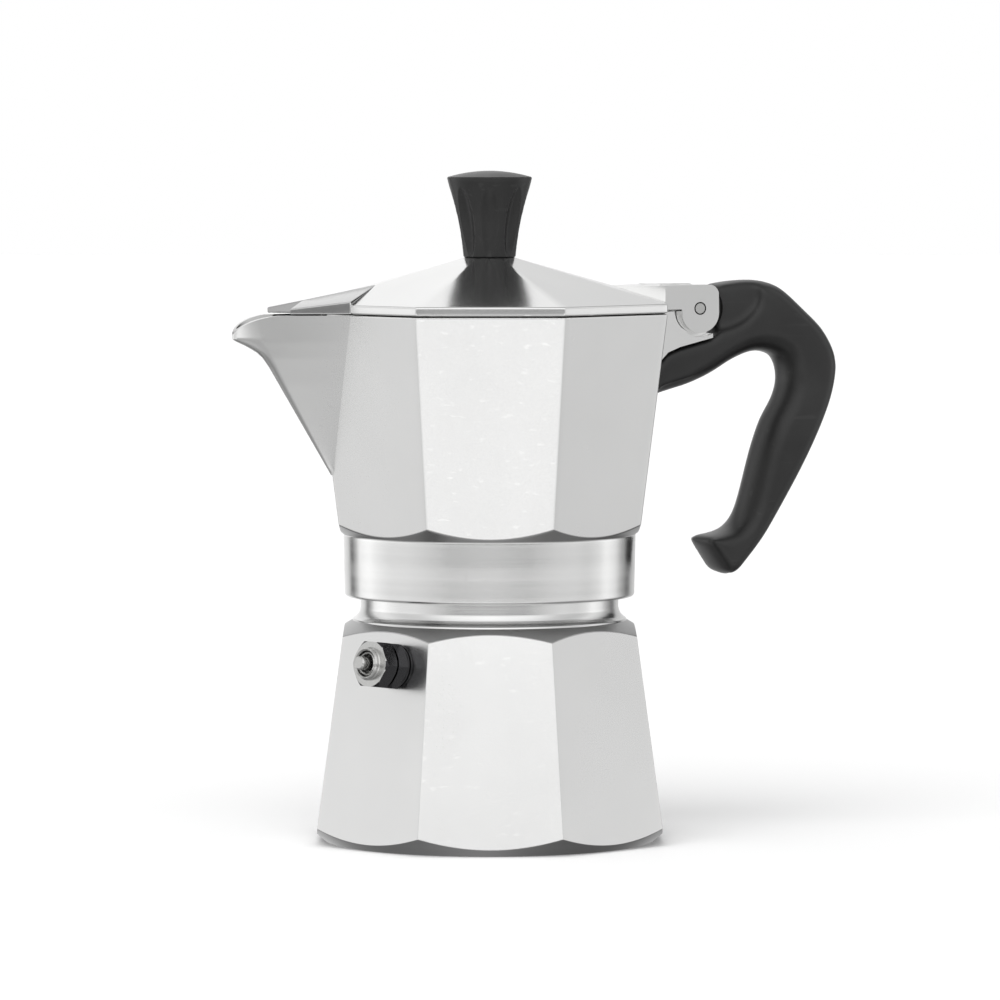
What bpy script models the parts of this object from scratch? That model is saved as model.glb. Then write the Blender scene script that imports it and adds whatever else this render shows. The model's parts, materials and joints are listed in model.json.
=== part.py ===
"""Stovetop moka pot with eight facets, for three cups. Metres, +Z up.

The origin is the centre of the boiler's underside. The spout points to -X and the handle to +X, both on
edges between two facets. The parts stand assembled: boiler, funnel, gasket, filter plate, collector, lid.
"""

import math

import bmesh
import bpy
from mathutils import Matrix, Vector

# Shared
GAP = 0.0003  # between two pieces that touch
SIDES = 8
SEGMENTS = 40  # round a full circle, a multiple of SIDES
HALF_SIDE = math.pi / SIDES

# Boiler
BOILER_FACET_A = 0.04155  # centre to facet, extended down to the underside
BOILER_FOOT_FLAT = BOILER_FACET_A - 0.00225  # radius of the flat underside
BOILER_DRAFT = 0.1335  # how fast the facets lean in with height
BOILER_CHAMFER = 1.2  # outward run of the foot chamfer for each unit of height
SHOULDER_TOP_Z = 0.0529
SHOULDER_SLOPE = 0.6  # drop of the shoulder for each unit of radius
NECK_R = BOILER_FACET_A - 0.01075
NECK_FILLET = 0.0020
NECK_TOP_Z = SHOULDER_TOP_Z + 0.0127
NECK_BORE_R = NECK_R - 0.0040
NECK_BORE_DEPTH = 0.0135
SHOULDER_TOP_R = NECK_R + 0.0019
BOILER_WALL = 0.0036
BOILER_FLOOR = 0.0040

# Screw thread between boiler and collector
THREAD_PITCH = 0.0030
THREAD_TURNS = 2
THREAD_HEIGHT = 0.0006
THREAD_WIDTH = 0.0016
THREAD_ROOM = 0.0003  # between the crests of the two threads
THREAD_START_Z = NECK_TOP_Z - 0.0078

# Funnel
FUNNEL_FLANGE_R = NECK_R - 0.0010
FUNNEL_FLANGE = 0.0010
FUNNEL_Z = NECK_TOP_Z + GAP
SHEET = 0.0008
BASKET_R = NECK_BORE_R - 2 * GAP - SHEET  # inside
BASKET_DEPTH = 0.0215
BASKET_FLOOR_Z = FUNNEL_Z + FUNNEL_FLANGE - BASKET_DEPTH
CONE_DEPTH = 0.0085
TUBE_TOP_Z = BASKET_FLOOR_Z - CONE_DEPTH
TUBE_R = 0.0046
TUBE_WALL = 0.0006
TUBE_LIFT = 0.0045  # of the tube's end over the boiler's floor
COLLAR_DEPTH = 0.0050  # of the funnel's collar round the tube
SCREEN_THICK = 0.0008
HOLE_R = 0.0008

# Gasket and filter plate
GASKET_Z = FUNNEL_Z + FUNNEL_FLANGE + GAP
GASKET_INNER_R = NECK_BORE_R - 0.0003
GASKET_OUTER_R = NECK_R - 0.0004
GASKET_THICK = 0.0032
PLATE_Z = GASKET_Z + GASKET_THICK + GAP
PLATE_R = GASKET_OUTER_R - 0.0002
PLATE_THICK = 0.0008

# Collector
RECESS_R = GASKET_OUTER_R + 0.0005
THREAD_WALL_R = NECK_R + 2 * THREAD_HEIGHT + THREAD_ROOM
FLOOR_UNDER = PLATE_Z + PLATE_THICK + 0.0011
FLOOR_THICK = 0.0032
FLOOR_Z = FLOOR_UNDER + FLOOR_THICK
BELT_R = THREAD_WALL_R + 0.0026
BELT_Z = (NECK_TOP_Z - 0.0070, FLOOR_UNDER + 0.0008)
BELT_TAPER = 0.0003
COLLECTOR_A = BELT_R + 0.0012  # centre to facet at COLLECTOR_A_Z
COLLECTOR_A_Z = BELT_Z[1] + 0.0052
COLLECTOR_RISE = 0.0477
COLLECTOR_DRAFT = 0.1237
COLLECTOR_CHAMFER = 0.75  # rise of the chamfer for each unit of radius
COLLECTOR_WALL = 0.0027
RIM_Z = COLLECTOR_A_Z + COLLECTOR_RISE
RIM_A = COLLECTOR_A + COLLECTOR_DRAFT * COLLECTOR_RISE  # centre to facet at the rim
RIM_CORNER = RIM_A / math.cos(HALF_SIDE)
COLUMN_R = 0.0054
COLUMN_FOOT_R = 0.0095
COLUMN_BORE = 0.0036
COLUMN_TOP_Z = RIM_Z - 0.0143
COLUMN_ROOF = 0.0024
COLUMN_SLOT = (0.0030, 0.0070)  # width and height of the outlet through the column's head

# Spout, on -X
SPOUT_ROOT_Z = RIM_Z - 0.0387
SPOUT_ROOT_X = -(COLLECTOR_A + COLLECTOR_DRAFT * (SPOUT_ROOT_Z - COLLECTOR_A_Z)) / math.cos(HALF_SIDE)
SPOUT_KEEL = ((SPOUT_ROOT_X, SPOUT_ROOT_Z), (-RIM_CORNER - 0.0121, RIM_Z - 0.0101))  # x, z at both ends
SPOUT_TIP = (-RIM_CORNER - 0.0202, RIM_Z - 0.0057)
SPOUT_HALF_WIDTH = 0.0122  # where the spout meets the facets at the rim
SPOUT_NOSE_W = (0.0004, 0.0052, 0.0066, 0.0082)  # at keel start, keel end, tip and rim
SPOUT_LIP_X = -RIM_CORNER - 0.0085
SPOUT_WALL = 0.0018
SPOUT_STEP = 0.0002  # from the chamber's rim down to the spout's

# Lid
LID_A = RIM_A  # centre to rim facet
LID_BASE_Z = RIM_Z + GAP
LID_RIM = 0.0021
LID_RIM_Z = LID_BASE_Z + LID_RIM
LID_SLOPE = 0.295
LID_WALL = 0.0018
LID_SEAT_R = 0.0065
LID_SEAT_Z = LID_RIM_Z + LID_SLOPE * (LID_A - LID_SEAT_R * math.cos(HALF_SIDE))
LID_LIP = 0.0012
LID_LIP_WIDTH = 0.0014
LID_BOSS_R = 0.0070
LID_BOSS_Z = LID_SEAT_Z - 0.0029
BEAK_ROOT_X = -RIM_CORNER + 0.0165
BEAK_NOTCH_X = -RIM_CORNER - 0.0025
BEAK_PRONG = (SPOUT_LIP_X, 0.0075)
BEAK_RISE = (0.0069, 0.0033, 0.0034, 0.0016)  # over the rim: root, rim corner, notch, prong

# Hinge
PIN_X = RIM_CORNER + 0.00614
PIN_Z = RIM_Z + 0.0005
PIN_R = 0.00125
HINGE_HALF_WIDTH = 0.0080
EAR_THICK = 0.0034
EAR_TOP_Z = PIN_Z + 0.0057
EAR_LOBE_R = 0.0049
EAR_BACK = 0.0050  # from pin to the ears' back face
EAR_SWEEP_R = 0.0069
HINGE_GAP_Y = HINGE_HALF_WIDTH - EAR_THICK  # inner face of an ear
HINGE_ROOT_X = PIN_X - 0.0201
HINGE_FRONT_X = PIN_X - 0.0091
HINGE_NOTCH_X = PIN_X - 0.0056
KNUCKLE_R = 0.0046

# Tongue and handle
TONGUE_X = (PIN_X - 0.0136, PIN_X + 0.0084)
TONGUE_Z = PIN_Z - 0.0171
TONGUE_RISE = 0.309
TONGUE_HALF = (0.0040, 0.0021)  # half width and half thickness
HANDLE_HALF = 0.0076
HANDLE_ROUND = (0.0042, 0.0066)  # how far the edges are rounded in the outline's plane, and along Y
HANDLE_ROUND_STEPS = 4
HANDLE_SCREW_X = PIN_X - 0.0046
HANDLE_SCREW_R = 0.0016
HANDLE_SCREW_HEAD_R = 0.0024
HANDLE_SCREW_Z = (PIN_Z - 0.0187, PIN_Z - 0.0178, PIN_Z - 0.0130)  # head bottom, head top, tip

# Knob
KNOB_TOP_Z = LID_SEAT_Z + 0.0207
KNOB_EDGE_Z = KNOB_TOP_Z - 0.0019
KNOB_EDGE_R = 0.0101
KNOB_FOOT_R = 0.0062
KNOB_FLUTES = 8
KNOB_FLUTE_DEPTH = 0.0012
KNOB_FLUTE_HALF = math.radians(14)
INSERT_R = 0.0034
INSERT_LENGTH = 0.0100
KNOB_SCREW_R = 0.0020
KNOB_SCREW_HEAD = (0.0036, 0.0021)  # radius and height
KNOB_WASHER = (0.0055, 0.0008)  # radius and thickness

# Safety valve, along its own axis from the boiler's face outwards
VALVE_Z = SHOULDER_TOP_Z - 0.0091
VALVE_ANGLE = math.radians(202.5)
VALVE_SIDESTEP = 0.0040
VALVE_BORE_R = 0.0031
VALVE_BOSS_R = VALVE_BORE_R + 0.0008
VALVE_SHANK_R = VALVE_BORE_R + 0.0011
VALVE_SHANK = BOILER_FACET_A - BOILER_DRAFT * VALVE_Z - NECK_BORE_R - 0.0009  # ends clear of the funnel
VALVE_HEX = 2 * (VALVE_SHANK_R + 0.00105)  # across flats
VALVE_FLANGE = 0.0030
VALVE_HEX_END = 0.0084
VALVE_REACH = 0.0100
VALVE_SEAT_R = 0.0018
VALVE_SEAT = 0.0012
VALVE_SEAL = 0.0008
VALVE_WASHER = (VALVE_SHANK_R + 0.0010, 0.0004)  # radius and thickness
STEM_R = 0.0016
STEM_COLLAR = (VALVE_BORE_R - 0.0005, 0.0010)  # radius and thickness
STEM_TRAVEL = 0.0012
STEM_SHOWS = 0.0020
SPRING_WIRE_R = 0.0003
SPRING_R = (STEM_R + VALVE_BORE_R) / 2
SPRING_TURNS = 5
RETAINER = (STEM_R + 0.0007, 0.0009)  # bore radius and thickness
RETAINER_DEPTH = 0.0004


def facet_cos(angle):
    """Cosine between this direction and the nearest facet's normal. Facets meet on +X."""
    side = 2 * math.pi / SIDES
    return math.cos(angle % side - side / 2)


def material(name, colour, metallic, roughness):
    made = bpy.data.materials.new(name)
    made.use_nodes = True
    shader = made.node_tree.nodes["Principled BSDF"]
    shader.inputs["Base Color"].default_value = (*colour, 1)
    shader.inputs["Metallic"].default_value = metallic
    shader.inputs["Roughness"].default_value = roughness
    made.diffuse_color = (*colour, 1)
    return made


def add_object(name, bm, surface, place=None):
    """The object of this bmesh, facing out and shaded smooth up to 30 degrees."""
    bmesh.ops.recalc_face_normals(bm, faces=bm.faces)
    mesh = bpy.data.meshes.new(name)
    bm.to_mesh(mesh)
    bm.free()
    mesh.shade_smooth()
    mesh.set_sharp_from_angle(angle=math.radians(30))
    mesh.materials.append(surface)
    made = bpy.data.objects.new(name, mesh)
    bpy.context.scene.collection.objects.link(made)
    if place:
        made.matrix_world = place
    return made


def revolve(name, stations, surface, place=None, segments=SEGMENTS):
    """A turned solid. A station is (r, z) or a function of the angle that gives it. The stations form a loop,
    or a line that starts and ends on the axis."""
    bm = bmesh.new()
    rings = []
    for station in stations:
        at = station if callable(station) else lambda angle, fixed=station: fixed
        if at(0.0)[0] == 0.0:
            rings.append([bm.verts.new((0, 0, at(0.0)[1]))])
            continue
        ring = []
        for step in range(segments):
            angle = 2 * math.pi * step / segments
            r, z = at(angle)
            ring.append(bm.verts.new((r * math.cos(angle), r * math.sin(angle), z)))
        rings.append(ring)
    pairs = list(zip(rings, rings[1:]))
    if len(rings[0]) > 1:
        pairs.append((rings[-1], rings[0]))
    for low, high in pairs:
        for step in range(segments):
            after = (step + 1) % segments
            corners = [low[step % len(low)], low[after % len(low)]]
            corners += [high[after % len(high)], high[step % len(high)]]
            bm.faces.new(list(dict.fromkeys(corners)))
    return add_object(name, bm, surface, place)


def loft(name, sections, surface, place=None):
    """A solid through sections with the same number of points, capped at both ends."""
    bm = bmesh.new()
    rings = [[bm.verts.new(point) for point in section] for section in sections]
    for low, high in zip(rings, rings[1:]):
        for i, point in enumerate(low):
            bm.faces.new((low[i - 1], point, high[i], high[i - 1]))
    bm.faces.new(rings[0])
    bm.faces.new(rings[-1])
    return add_object(name, bm, surface, place)


def slab(name, outline, y_from, y_to, surface):
    """An outline of (x, z) points, extruded along Y."""
    return loft(name, [[(x, y, z) for x, z in outline] for y in (y_from, y_to)], surface)


def rod(name, radius, start, end, surface, segments=24):
    """A cylinder between two points."""
    start, end = Vector(start), Vector(end)
    turn = (end - start).to_track_quat("Z", "Y").to_matrix().to_4x4()
    stations = [(0, 0), (radius, 0), (radius, (end - start).length), (0, (end - start).length)]
    return revolve(name, stations, surface, Matrix.Translation(start) @ turn, segments)


def combine(target, operation, other, solver="EXACT"):
    """Joins or cuts target with a helper, which then stays in the file as a hidden guide."""
    modifier = target.modifiers.new(other.name, "BOOLEAN")
    modifier.operation = operation
    modifier.solver = solver
    modifier.object = other
    other.hide_render = True
    other.display_type = "WIRE"


def arc(centre, radius, start, end, steps):
    """Points on an arc in degrees, from +X towards +Z."""
    points = []
    for step in range(steps + 1):
        angle = math.radians(start + (end - start) * step / steps)
        points.append((centre[0] + radius * math.cos(angle), centre[1] + radius * math.sin(angle)))
    return points


def curve_through(points, steps):
    """A smooth line through these points, Catmull-Rom, with steps pieces between two of them."""
    padded = [points[0], *points, points[-1]]
    line = []
    for before, start, end, after in zip(padded, padded[1:], padded[2:], padded[3:]):
        for step in range(steps):
            t = step / steps
            line.append(tuple(catmull_rom(*four, t) for four in zip(before, start, end, after)))
    return [*line, points[-1]]


def catmull_rom(before, start, end, after, t):
    slope_in = (end - before) / 2
    slope_out = (after - start) / 2
    rise = 3 * (end - start) - 2 * slope_in - slope_out
    bend = 2 * (start - end) + slope_in + slope_out
    return start + t * (slope_in + t * (rise + t * bend))


def thread(name, radius, outward, bottom_z, surface):
    """A helical ridge on a wall of this radius, sunk into the wall and running out at both ends."""
    steps = THREAD_TURNS * SEGMENTS
    fade = SEGMENTS // 8
    root = radius - outward * THREAD_HEIGHT
    sections = []
    for step in range(steps + 1):
        angle = 2 * math.pi * (step + 0.5) / SEGMENTS
        z = bottom_z + THREAD_PITCH * step / SEGMENTS
        full = min(1.0, (min(step, steps - step) + 0.2) / fade)
        crest = radius + outward * THREAD_HEIGHT * full
        half = THREAD_WIDTH / 2
        profile = [(root, -half), (crest, -half / 2), (crest, half / 2), (root, half)]
        sections.append([(r * math.cos(angle), r * math.sin(angle), z + dz) for r, dz in profile])
    return loft(name, sections, surface)


def boiler_facet(z):
    return BOILER_FACET_A - BOILER_DRAFT * z


def boiler_foot_edge(angle):
    """Where the foot's chamfer meets the facets."""
    c = facet_cos(angle)
    z = (BOILER_FACET_A / c - BOILER_FOOT_FLAT) / (BOILER_CHAMFER + BOILER_DRAFT / c)
    return boiler_facet(z) / c, z


def boiler_shoulder_edge(angle):
    """Where the facets meet the turned shoulder."""
    c = facet_cos(angle)
    top = SHOULDER_TOP_Z + SHOULDER_SLOPE * SHOULDER_TOP_R
    z = (top - SHOULDER_SLOPE * BOILER_FACET_A / c) / (1 - SHOULDER_SLOPE * BOILER_DRAFT / c)
    return boiler_facet(z) / c, z


def valve_place():
    """The valve's axis: square to its facet, with its origin on the boiler's face."""
    tilt = math.atan(BOILER_DRAFT)
    level = Vector((math.cos(VALVE_ANGLE), math.sin(VALVE_ANGLE), 0))
    across = Vector((-math.sin(VALVE_ANGLE), math.cos(VALVE_ANGLE), 0))
    axis = level * math.cos(tilt) + Vector((0, 0, math.sin(tilt)))
    up = axis.cross(across)
    foot = level * boiler_facet(VALVE_Z) + across * VALVE_SIDESTEP + Vector((0, 0, VALVE_Z))
    return Matrix.Translation(foot) @ Matrix((across, -up, axis)).transposed().to_4x4()


def make_boiler(metal):
    cavity_top = NECK_TOP_Z - NECK_BORE_DEPTH
    below = cavity_top - (SHOULDER_TOP_R - NECK_BORE_R)
    floor_r = boiler_facet(BOILER_FLOOR) - BOILER_WALL
    boiler = revolve(
        "boiler",
        [
            (0, 0),
            (BOILER_FOOT_FLAT, 0),
            boiler_foot_edge,
            boiler_shoulder_edge,
            (SHOULDER_TOP_R, SHOULDER_TOP_Z),
            (SHOULDER_TOP_R - 0.7 * NECK_FILLET, SHOULDER_TOP_Z + 0.3 * NECK_FILLET),
            (NECK_R, SHOULDER_TOP_Z + NECK_FILLET),
            (NECK_R, NECK_TOP_Z),
            (NECK_BORE_R, NECK_TOP_Z),
            (NECK_BORE_R, cavity_top),
            (boiler_facet(below) - BOILER_WALL, below),
            (floor_r, BOILER_FLOOR + 0.0040),
            (floor_r - 0.0030, BOILER_FLOOR),
            (0, BOILER_FLOOR),
        ],
        metal,
    )
    combine(boiler, "UNION", thread("boiler_thread", NECK_R, 1, THREAD_START_Z, metal))
    place = valve_place()
    axis = place.to_3x3() @ Vector((0, 0, 1))
    foot = place.translation
    hole = rod("valve_hole", VALVE_SHANK_R + GAP, foot - 0.008 * axis, foot + 0.002 * axis, metal)
    combine(boiler, "DIFFERENCE", hole)
    return boiler


def hexagon(name, start, end, waist, surface, place):
    """A hexagon prism with its end edges turned down by waist."""
    corner = VALVE_HEX / 2 / math.cos(math.pi / 6)
    turns = [math.pi / 6 + i * math.pi / 3 for i in range(6)]

    def ring(radius, z):
        return [(radius * math.sin(turn), radius * math.cos(turn), z) for turn in turns]

    sections = [ring(corner - waist, start), ring(corner, start + waist)]
    sections += [ring(corner, end - waist), ring(corner - waist, end)]
    return loft(name, sections, surface, place)


def make_valve(nickel, steel, rubber):
    place = valve_place()
    washer_r, washer = VALVE_WASHER
    base = GAP + washer + GAP
    seat = VALVE_SEAT - VALVE_SHANK
    body = revolve(
        "valve_body",
        [
            (VALVE_SEAT_R, -VALVE_SHANK),
            (VALVE_SHANK_R, -VALVE_SHANK),
            (VALVE_SHANK_R, base + 0.0004),
            (VALVE_HEX / 2 - 0.0004, base + 0.0004),
            (VALVE_HEX / 2 - 0.0002, VALVE_HEX_END - 0.0003),
            (VALVE_HEX / 2 - 0.0005, VALVE_HEX_END),
            (VALVE_BOSS_R, VALVE_HEX_END),
            (VALVE_BOSS_R, VALVE_REACH - 0.0003),
            (VALVE_BOSS_R - 0.0003, VALVE_REACH),
            (VALVE_BORE_R, VALVE_REACH),
            (VALVE_BORE_R, seat),
            (VALVE_SEAT_R, seat),
        ],
        nickel,
        place,
        24,
    )
    bevel = 0.0005
    for name, start, end in (
        ("valve_flange", base, base + VALVE_FLANGE),
        ("valve_hex", base + VALVE_FLANGE - 0.0002, VALVE_HEX_END - 0.0004),
    ):
        prism = hexagon(name, start, end, bevel, nickel, place)
        bore = rod(name + "_bore", VALVE_SHANK_R - 0.0003, (0, 0, -0.02), (0, 0, 0.02), nickel)
        bore.matrix_world = place @ bore.matrix_world
        combine(prism, "DIFFERENCE", bore)
        combine(body, "UNION", prism)
    revolve(
        "valve_washer",
        [
            (VALVE_SHANK_R + GAP, GAP),
            (washer_r, GAP),
            (washer_r, GAP + washer),
            (VALVE_SHANK_R + GAP, GAP + washer),
        ],
        steel,
        place,
        24,
    )
    seal_r = VALVE_BORE_R - 2 * GAP
    seal_top = seat + GAP + VALVE_SEAL
    revolve(
        "valve_seal",
        [(0, seat + GAP), (seal_r, seat + GAP), (seal_r, seal_top), (0, seal_top)],
        rubber,
        place,
        16,
    )
    collar_r, collar = STEM_COLLAR
    foot = seal_top + GAP
    revolve(
        "valve_stem",
        [
            (0, foot),
            (collar_r, foot),
            (collar_r, foot + collar),
            (STEM_R, foot + collar),
            (STEM_R, VALVE_REACH + STEM_SHOWS - 0.0003),
            (STEM_R - 0.0003, VALVE_REACH + STEM_SHOWS),
            (0, VALVE_REACH + STEM_SHOWS),
        ],
        steel,
        place,
        24,
    )
    retainer_r, retainer = RETAINER
    face = VALVE_REACH - RETAINER_DEPTH
    revolve(
        "valve_retainer",
        [
            (retainer_r, face - retainer),
            (VALVE_BORE_R - GAP, face - retainer),
            (VALVE_BORE_R - GAP, face - 0.0003),
            (retainer_r + 0.0002, face),
            (retainer_r, face - 0.0002),
        ],
        steel,
        place,
        24,
    )
    spring_from = foot + collar + STEM_TRAVEL + GAP + SPRING_WIRE_R
    spring_to = face - retainer - GAP - SPRING_WIRE_R
    make_spring(spring_from, spring_to, steel, place)


def make_spring(start, end, surface, place):
    """A round wire along a helix."""
    steps = SPRING_TURNS * 12
    sections = []
    for step in range(steps + 1):
        angle = 2 * math.pi * step * SPRING_TURNS / steps
        out = Vector((math.cos(angle), math.sin(angle), 0))
        centre = out * SPRING_R + Vector((0, 0, start + (end - start) * step / steps))
        wire = []
        for corner in range(6):
            turn = corner * math.pi / 3
            lift = Vector((0, 0, math.sin(turn)))
            wire.append(centre + SPRING_WIRE_R * (out * math.cos(turn) + lift))
        sections.append(wire)
    return loft("valve_spring", sections, surface, place)


def hole_pattern(name, rings, spacing, z_from, z_to, surface):
    """Small prisms on a hexagon grid, to pierce a plate."""
    bm = bmesh.new()
    for row in range(-rings, rings + 1):
        for column in range(-rings, rings + 1):
            if abs(row + column) > rings:
                continue
            x = spacing * (column + row / 2)
            y = spacing * row * math.sin(math.pi / 3)
            plan = [(x + HOLE_R * math.cos(turn), y + HOLE_R * math.sin(turn)) for turn in circle(6)]
            low, high = [[bm.verts.new((px, py, z)) for px, py in plan] for z in (z_from, z_to)]
            bm.faces.new(low)
            bm.faces.new(high)
            for i in range(6):
                bm.faces.new((low[i - 1], low[i], high[i], high[i - 1]))
    return add_object(name, bm, surface)


def make_funnel(metal, steel):
    collar = TUBE_R + GAP
    inside = collar + 0.0002
    revolve(
        "funnel",
        [
            (BASKET_R, FUNNEL_Z + FUNNEL_FLANGE),
            (BASKET_R, BASKET_FLOOR_Z),
            (BASKET_R - 0.0015, BASKET_FLOOR_Z - 0.0004),
            (inside + 0.0012, TUBE_TOP_Z + SHEET),
            (inside, TUBE_TOP_Z),
            (inside, TUBE_TOP_Z - COLLAR_DEPTH),
            (inside + SHEET, TUBE_TOP_Z - COLLAR_DEPTH),
            (inside + SHEET, TUBE_TOP_Z - 0.0004),
            (inside + 0.0018, TUBE_TOP_Z),
            (BASKET_R - 0.0010, BASKET_FLOOR_Z - 0.0004 - SHEET),
            (BASKET_R + SHEET, BASKET_FLOOR_Z - 0.0003),
            (BASKET_R + SHEET, FUNNEL_Z - 0.0006),
            (NECK_BORE_R - GAP, FUNNEL_Z),
            (FUNNEL_FLANGE_R, FUNNEL_Z),
            (FUNNEL_FLANGE_R, FUNNEL_Z + FUNNEL_FLANGE),
        ],
        metal,
    )
    foot = BOILER_FLOOR + TUBE_LIFT
    flare = TUBE_TOP_Z + SHEET + GAP
    revolve(
        "funnel_tube",
        [
            (TUBE_R - TUBE_WALL, foot),
            (TUBE_R, foot),
            (TUBE_R, TUBE_TOP_Z),
            (TUBE_R + 0.0012, flare + 0.0004),
            (TUBE_R + 0.0010, flare + 0.0010),
            (TUBE_R - TUBE_WALL, TUBE_TOP_Z + 0.0006),
        ],
        metal,
        None,
        24,
    )
    screen = revolve(
        "funnel_screen",
        [
            (0, BASKET_FLOOR_Z + GAP),
            (BASKET_R - GAP, BASKET_FLOOR_Z + GAP),
            (BASKET_R - GAP, BASKET_FLOOR_Z + GAP + SCREEN_THICK),
            (0, BASKET_FLOOR_Z + GAP + SCREEN_THICK),
        ],
        steel,
        None,
        24,
    )
    spacing = (BASKET_R - 0.0060) / 2
    z = BASKET_FLOOR_Z
    combine(screen, "DIFFERENCE", hole_pattern("screen_holes", 2, spacing, z - 0.001, z + 0.003, steel))


def make_gasket(rubber):
    edge = 0.0003
    low, high = GASKET_Z, GASKET_Z + GASKET_THICK
    revolve(
        "gasket",
        [
            (GASKET_INNER_R, low),
            (GASKET_OUTER_R - edge, low),
            (GASKET_OUTER_R, low + edge),
            (GASKET_OUTER_R, high - edge),
            (GASKET_OUTER_R - edge, high),
            (GASKET_INNER_R, high),
        ],
        rubber,
    )


def make_filter_plate(metal):
    plate = revolve(
        "filter_plate",
        [(0, PLATE_Z), (PLATE_R, PLATE_Z), (PLATE_R, PLATE_Z + PLATE_THICK), (0, PLATE_Z + PLATE_THICK)],
        metal,
    )
    spacing = (GASKET_INNER_R - 0.0040) / 3
    holes = hole_pattern("plate_holes", 3, spacing, PLATE_Z - 0.002, PLATE_Z + 0.003, metal)
    combine(plate, "DIFFERENCE", holes)


def collector_facet(z):
    return COLLECTOR_A + COLLECTOR_DRAFT * (z - COLLECTOR_A_Z)


def collector_chamfer_edge(angle):
    """Where the turned chamfer over the belt meets the facets."""
    c = facet_cos(angle)
    base = collector_facet(BELT_Z[1] - COLLECTOR_CHAMFER * BELT_R) / c
    r = base / (1 - COLLECTOR_DRAFT * COLLECTOR_CHAMFER / c)
    return r, BELT_Z[1] + COLLECTOR_CHAMFER * (r - BELT_R)


def on_facets(inset, z):
    """A station on the collector's facets, or inset from them."""
    return lambda angle: ((collector_facet(z) - inset) / facet_cos(angle), z)


def make_collector(metal):
    shelf = FUNNEL_Z + FUNNEL_FLANGE - 0.0003
    collector = revolve(
        "collector",
        [
            (0, COLUMN_TOP_Z - COLUMN_ROOF),
            (COLUMN_BORE, COLUMN_TOP_Z - COLUMN_ROOF),
            (COLUMN_BORE, FLOOR_UNDER + 0.0030),
            (COLUMN_BORE + 0.0024, FLOOR_UNDER + 0.0004),
            (GASKET_INNER_R, FLOOR_UNDER),
            (GASKET_INNER_R + 0.0008, PLATE_Z + PLATE_THICK + GAP),
            (RECESS_R, PLATE_Z + PLATE_THICK + GAP),
            (RECESS_R, shelf),
            (THREAD_WALL_R, shelf - 0.0006),
            (THREAD_WALL_R, BELT_Z[0]),
            (BELT_R - BELT_TAPER - 0.0005, BELT_Z[0]),
            (BELT_R - BELT_TAPER, BELT_Z[0] + 0.0005),
            (BELT_R, BELT_Z[1]),
            collector_chamfer_edge,
            on_facets(0, RIM_Z),
            on_facets(COLLECTOR_WALL, RIM_Z),
            on_facets(COLLECTOR_WALL, FLOOR_Z + 0.0040),
            (collector_facet(FLOOR_Z) - COLLECTOR_WALL - 0.0015, FLOOR_Z),
            (COLUMN_FOOT_R, FLOOR_Z),
            (COLUMN_R + 0.0012, FLOOR_Z + 0.0040),
            (COLUMN_R, FLOOR_Z + 0.0120),
            (COLUMN_R, COLUMN_TOP_Z - 0.0012),
            (COLUMN_R - 0.0012, COLUMN_TOP_Z),
            (0, COLUMN_TOP_Z),
        ],
        metal,
    )
    start = THREAD_START_Z + THREAD_PITCH / 2
    combine(collector, "UNION", thread("collector_thread", THREAD_WALL_R, -1, start, metal))
    width, height = COLUMN_SLOT
    head = COLUMN_TOP_Z - COLUMN_ROOF - height
    outlet = [(-0.01, head), (0.01, head), (0.01, head + height - 0.0008), (-0.01, head + height - 0.0008)]
    combine(collector, "DIFFERENCE", slab("column_outlet", outlet, -width / 2, width / 2, metal))
    spout = spout_shape("spout_outside", 0.0, metal)
    combine(spout, "DIFFERENCE", lip_cutter(metal))
    combine(collector, "UNION", spout)
    combine(collector, "DIFFERENCE", spout_shape("spout_channel", SPOUT_WALL, metal))
    add_hinge_lug(collector, metal)
    return collector


def spout_keel(z):
    """x of the spout's keel and half width of its nose at this height."""
    (x0, z0), (x1, z1) = SPOUT_KEEL
    tip_x, tip_z = SPOUT_TIP
    w0, w1, w_tip, w_rim = SPOUT_NOSE_W
    if z <= z1:
        t = (z - z0) / (z1 - z0)
        return x0 + t * (x1 - x0), max(w0 / 2, w0 + t * (w1 - w0))
    if z <= tip_z:
        t = (z - z1) / (tip_z - z1)
        slope = (x1 - x0) / (z1 - z0) * (tip_z - z1)
        flare = tip_x - x1 - slope
        return x1 + slope * t + flare * t**2.6, w1 + t * (w_tip - w1)
    t = min(1.0, (z - tip_z) / (RIM_Z - tip_z))
    return tip_x, w_tip + t * (w_rim - w_tip)


def spout_section(z, wall):
    """The spout's plan at this height, open towards the chamber, moved in by wall."""
    x, half = spout_keel(z - 0.8 * wall)
    x += 0.7 * wall
    half = max(half - wall, half / 3)
    z_root = SPOUT_KEEL[0][1]
    reach = SPOUT_HALF_WIDTH * (z - z_root) / (RIM_Z - z_root) - wall
    reach = max(reach, half + 0.0001)
    corner = collector_facet(z) / math.cos(HALF_SIDE)
    facet_x = -(corner - reach * math.tan(HALF_SIDE))
    nose = max(0.0012, min(half + 0.0004, facet_x - x - 0.0010))
    centre = x + nose
    depth = 2.2 * COLLECTOR_WALL if wall else 0.5 * COLLECTOR_WALL
    spread = (reach - half) / max(facet_x - centre, 0.0015)
    inner = (facet_x + depth, reach + depth * min(spread, 0.3))
    outline = [(inner[0], -inner[1])]
    for step in range(9):
        turn = math.pi * step / 8
        outline.append((centre - nose * math.sin(turn), -half * math.cos(turn)))
    outline.append(inner)
    return [(px, py, z) for px, py in outline]


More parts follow.
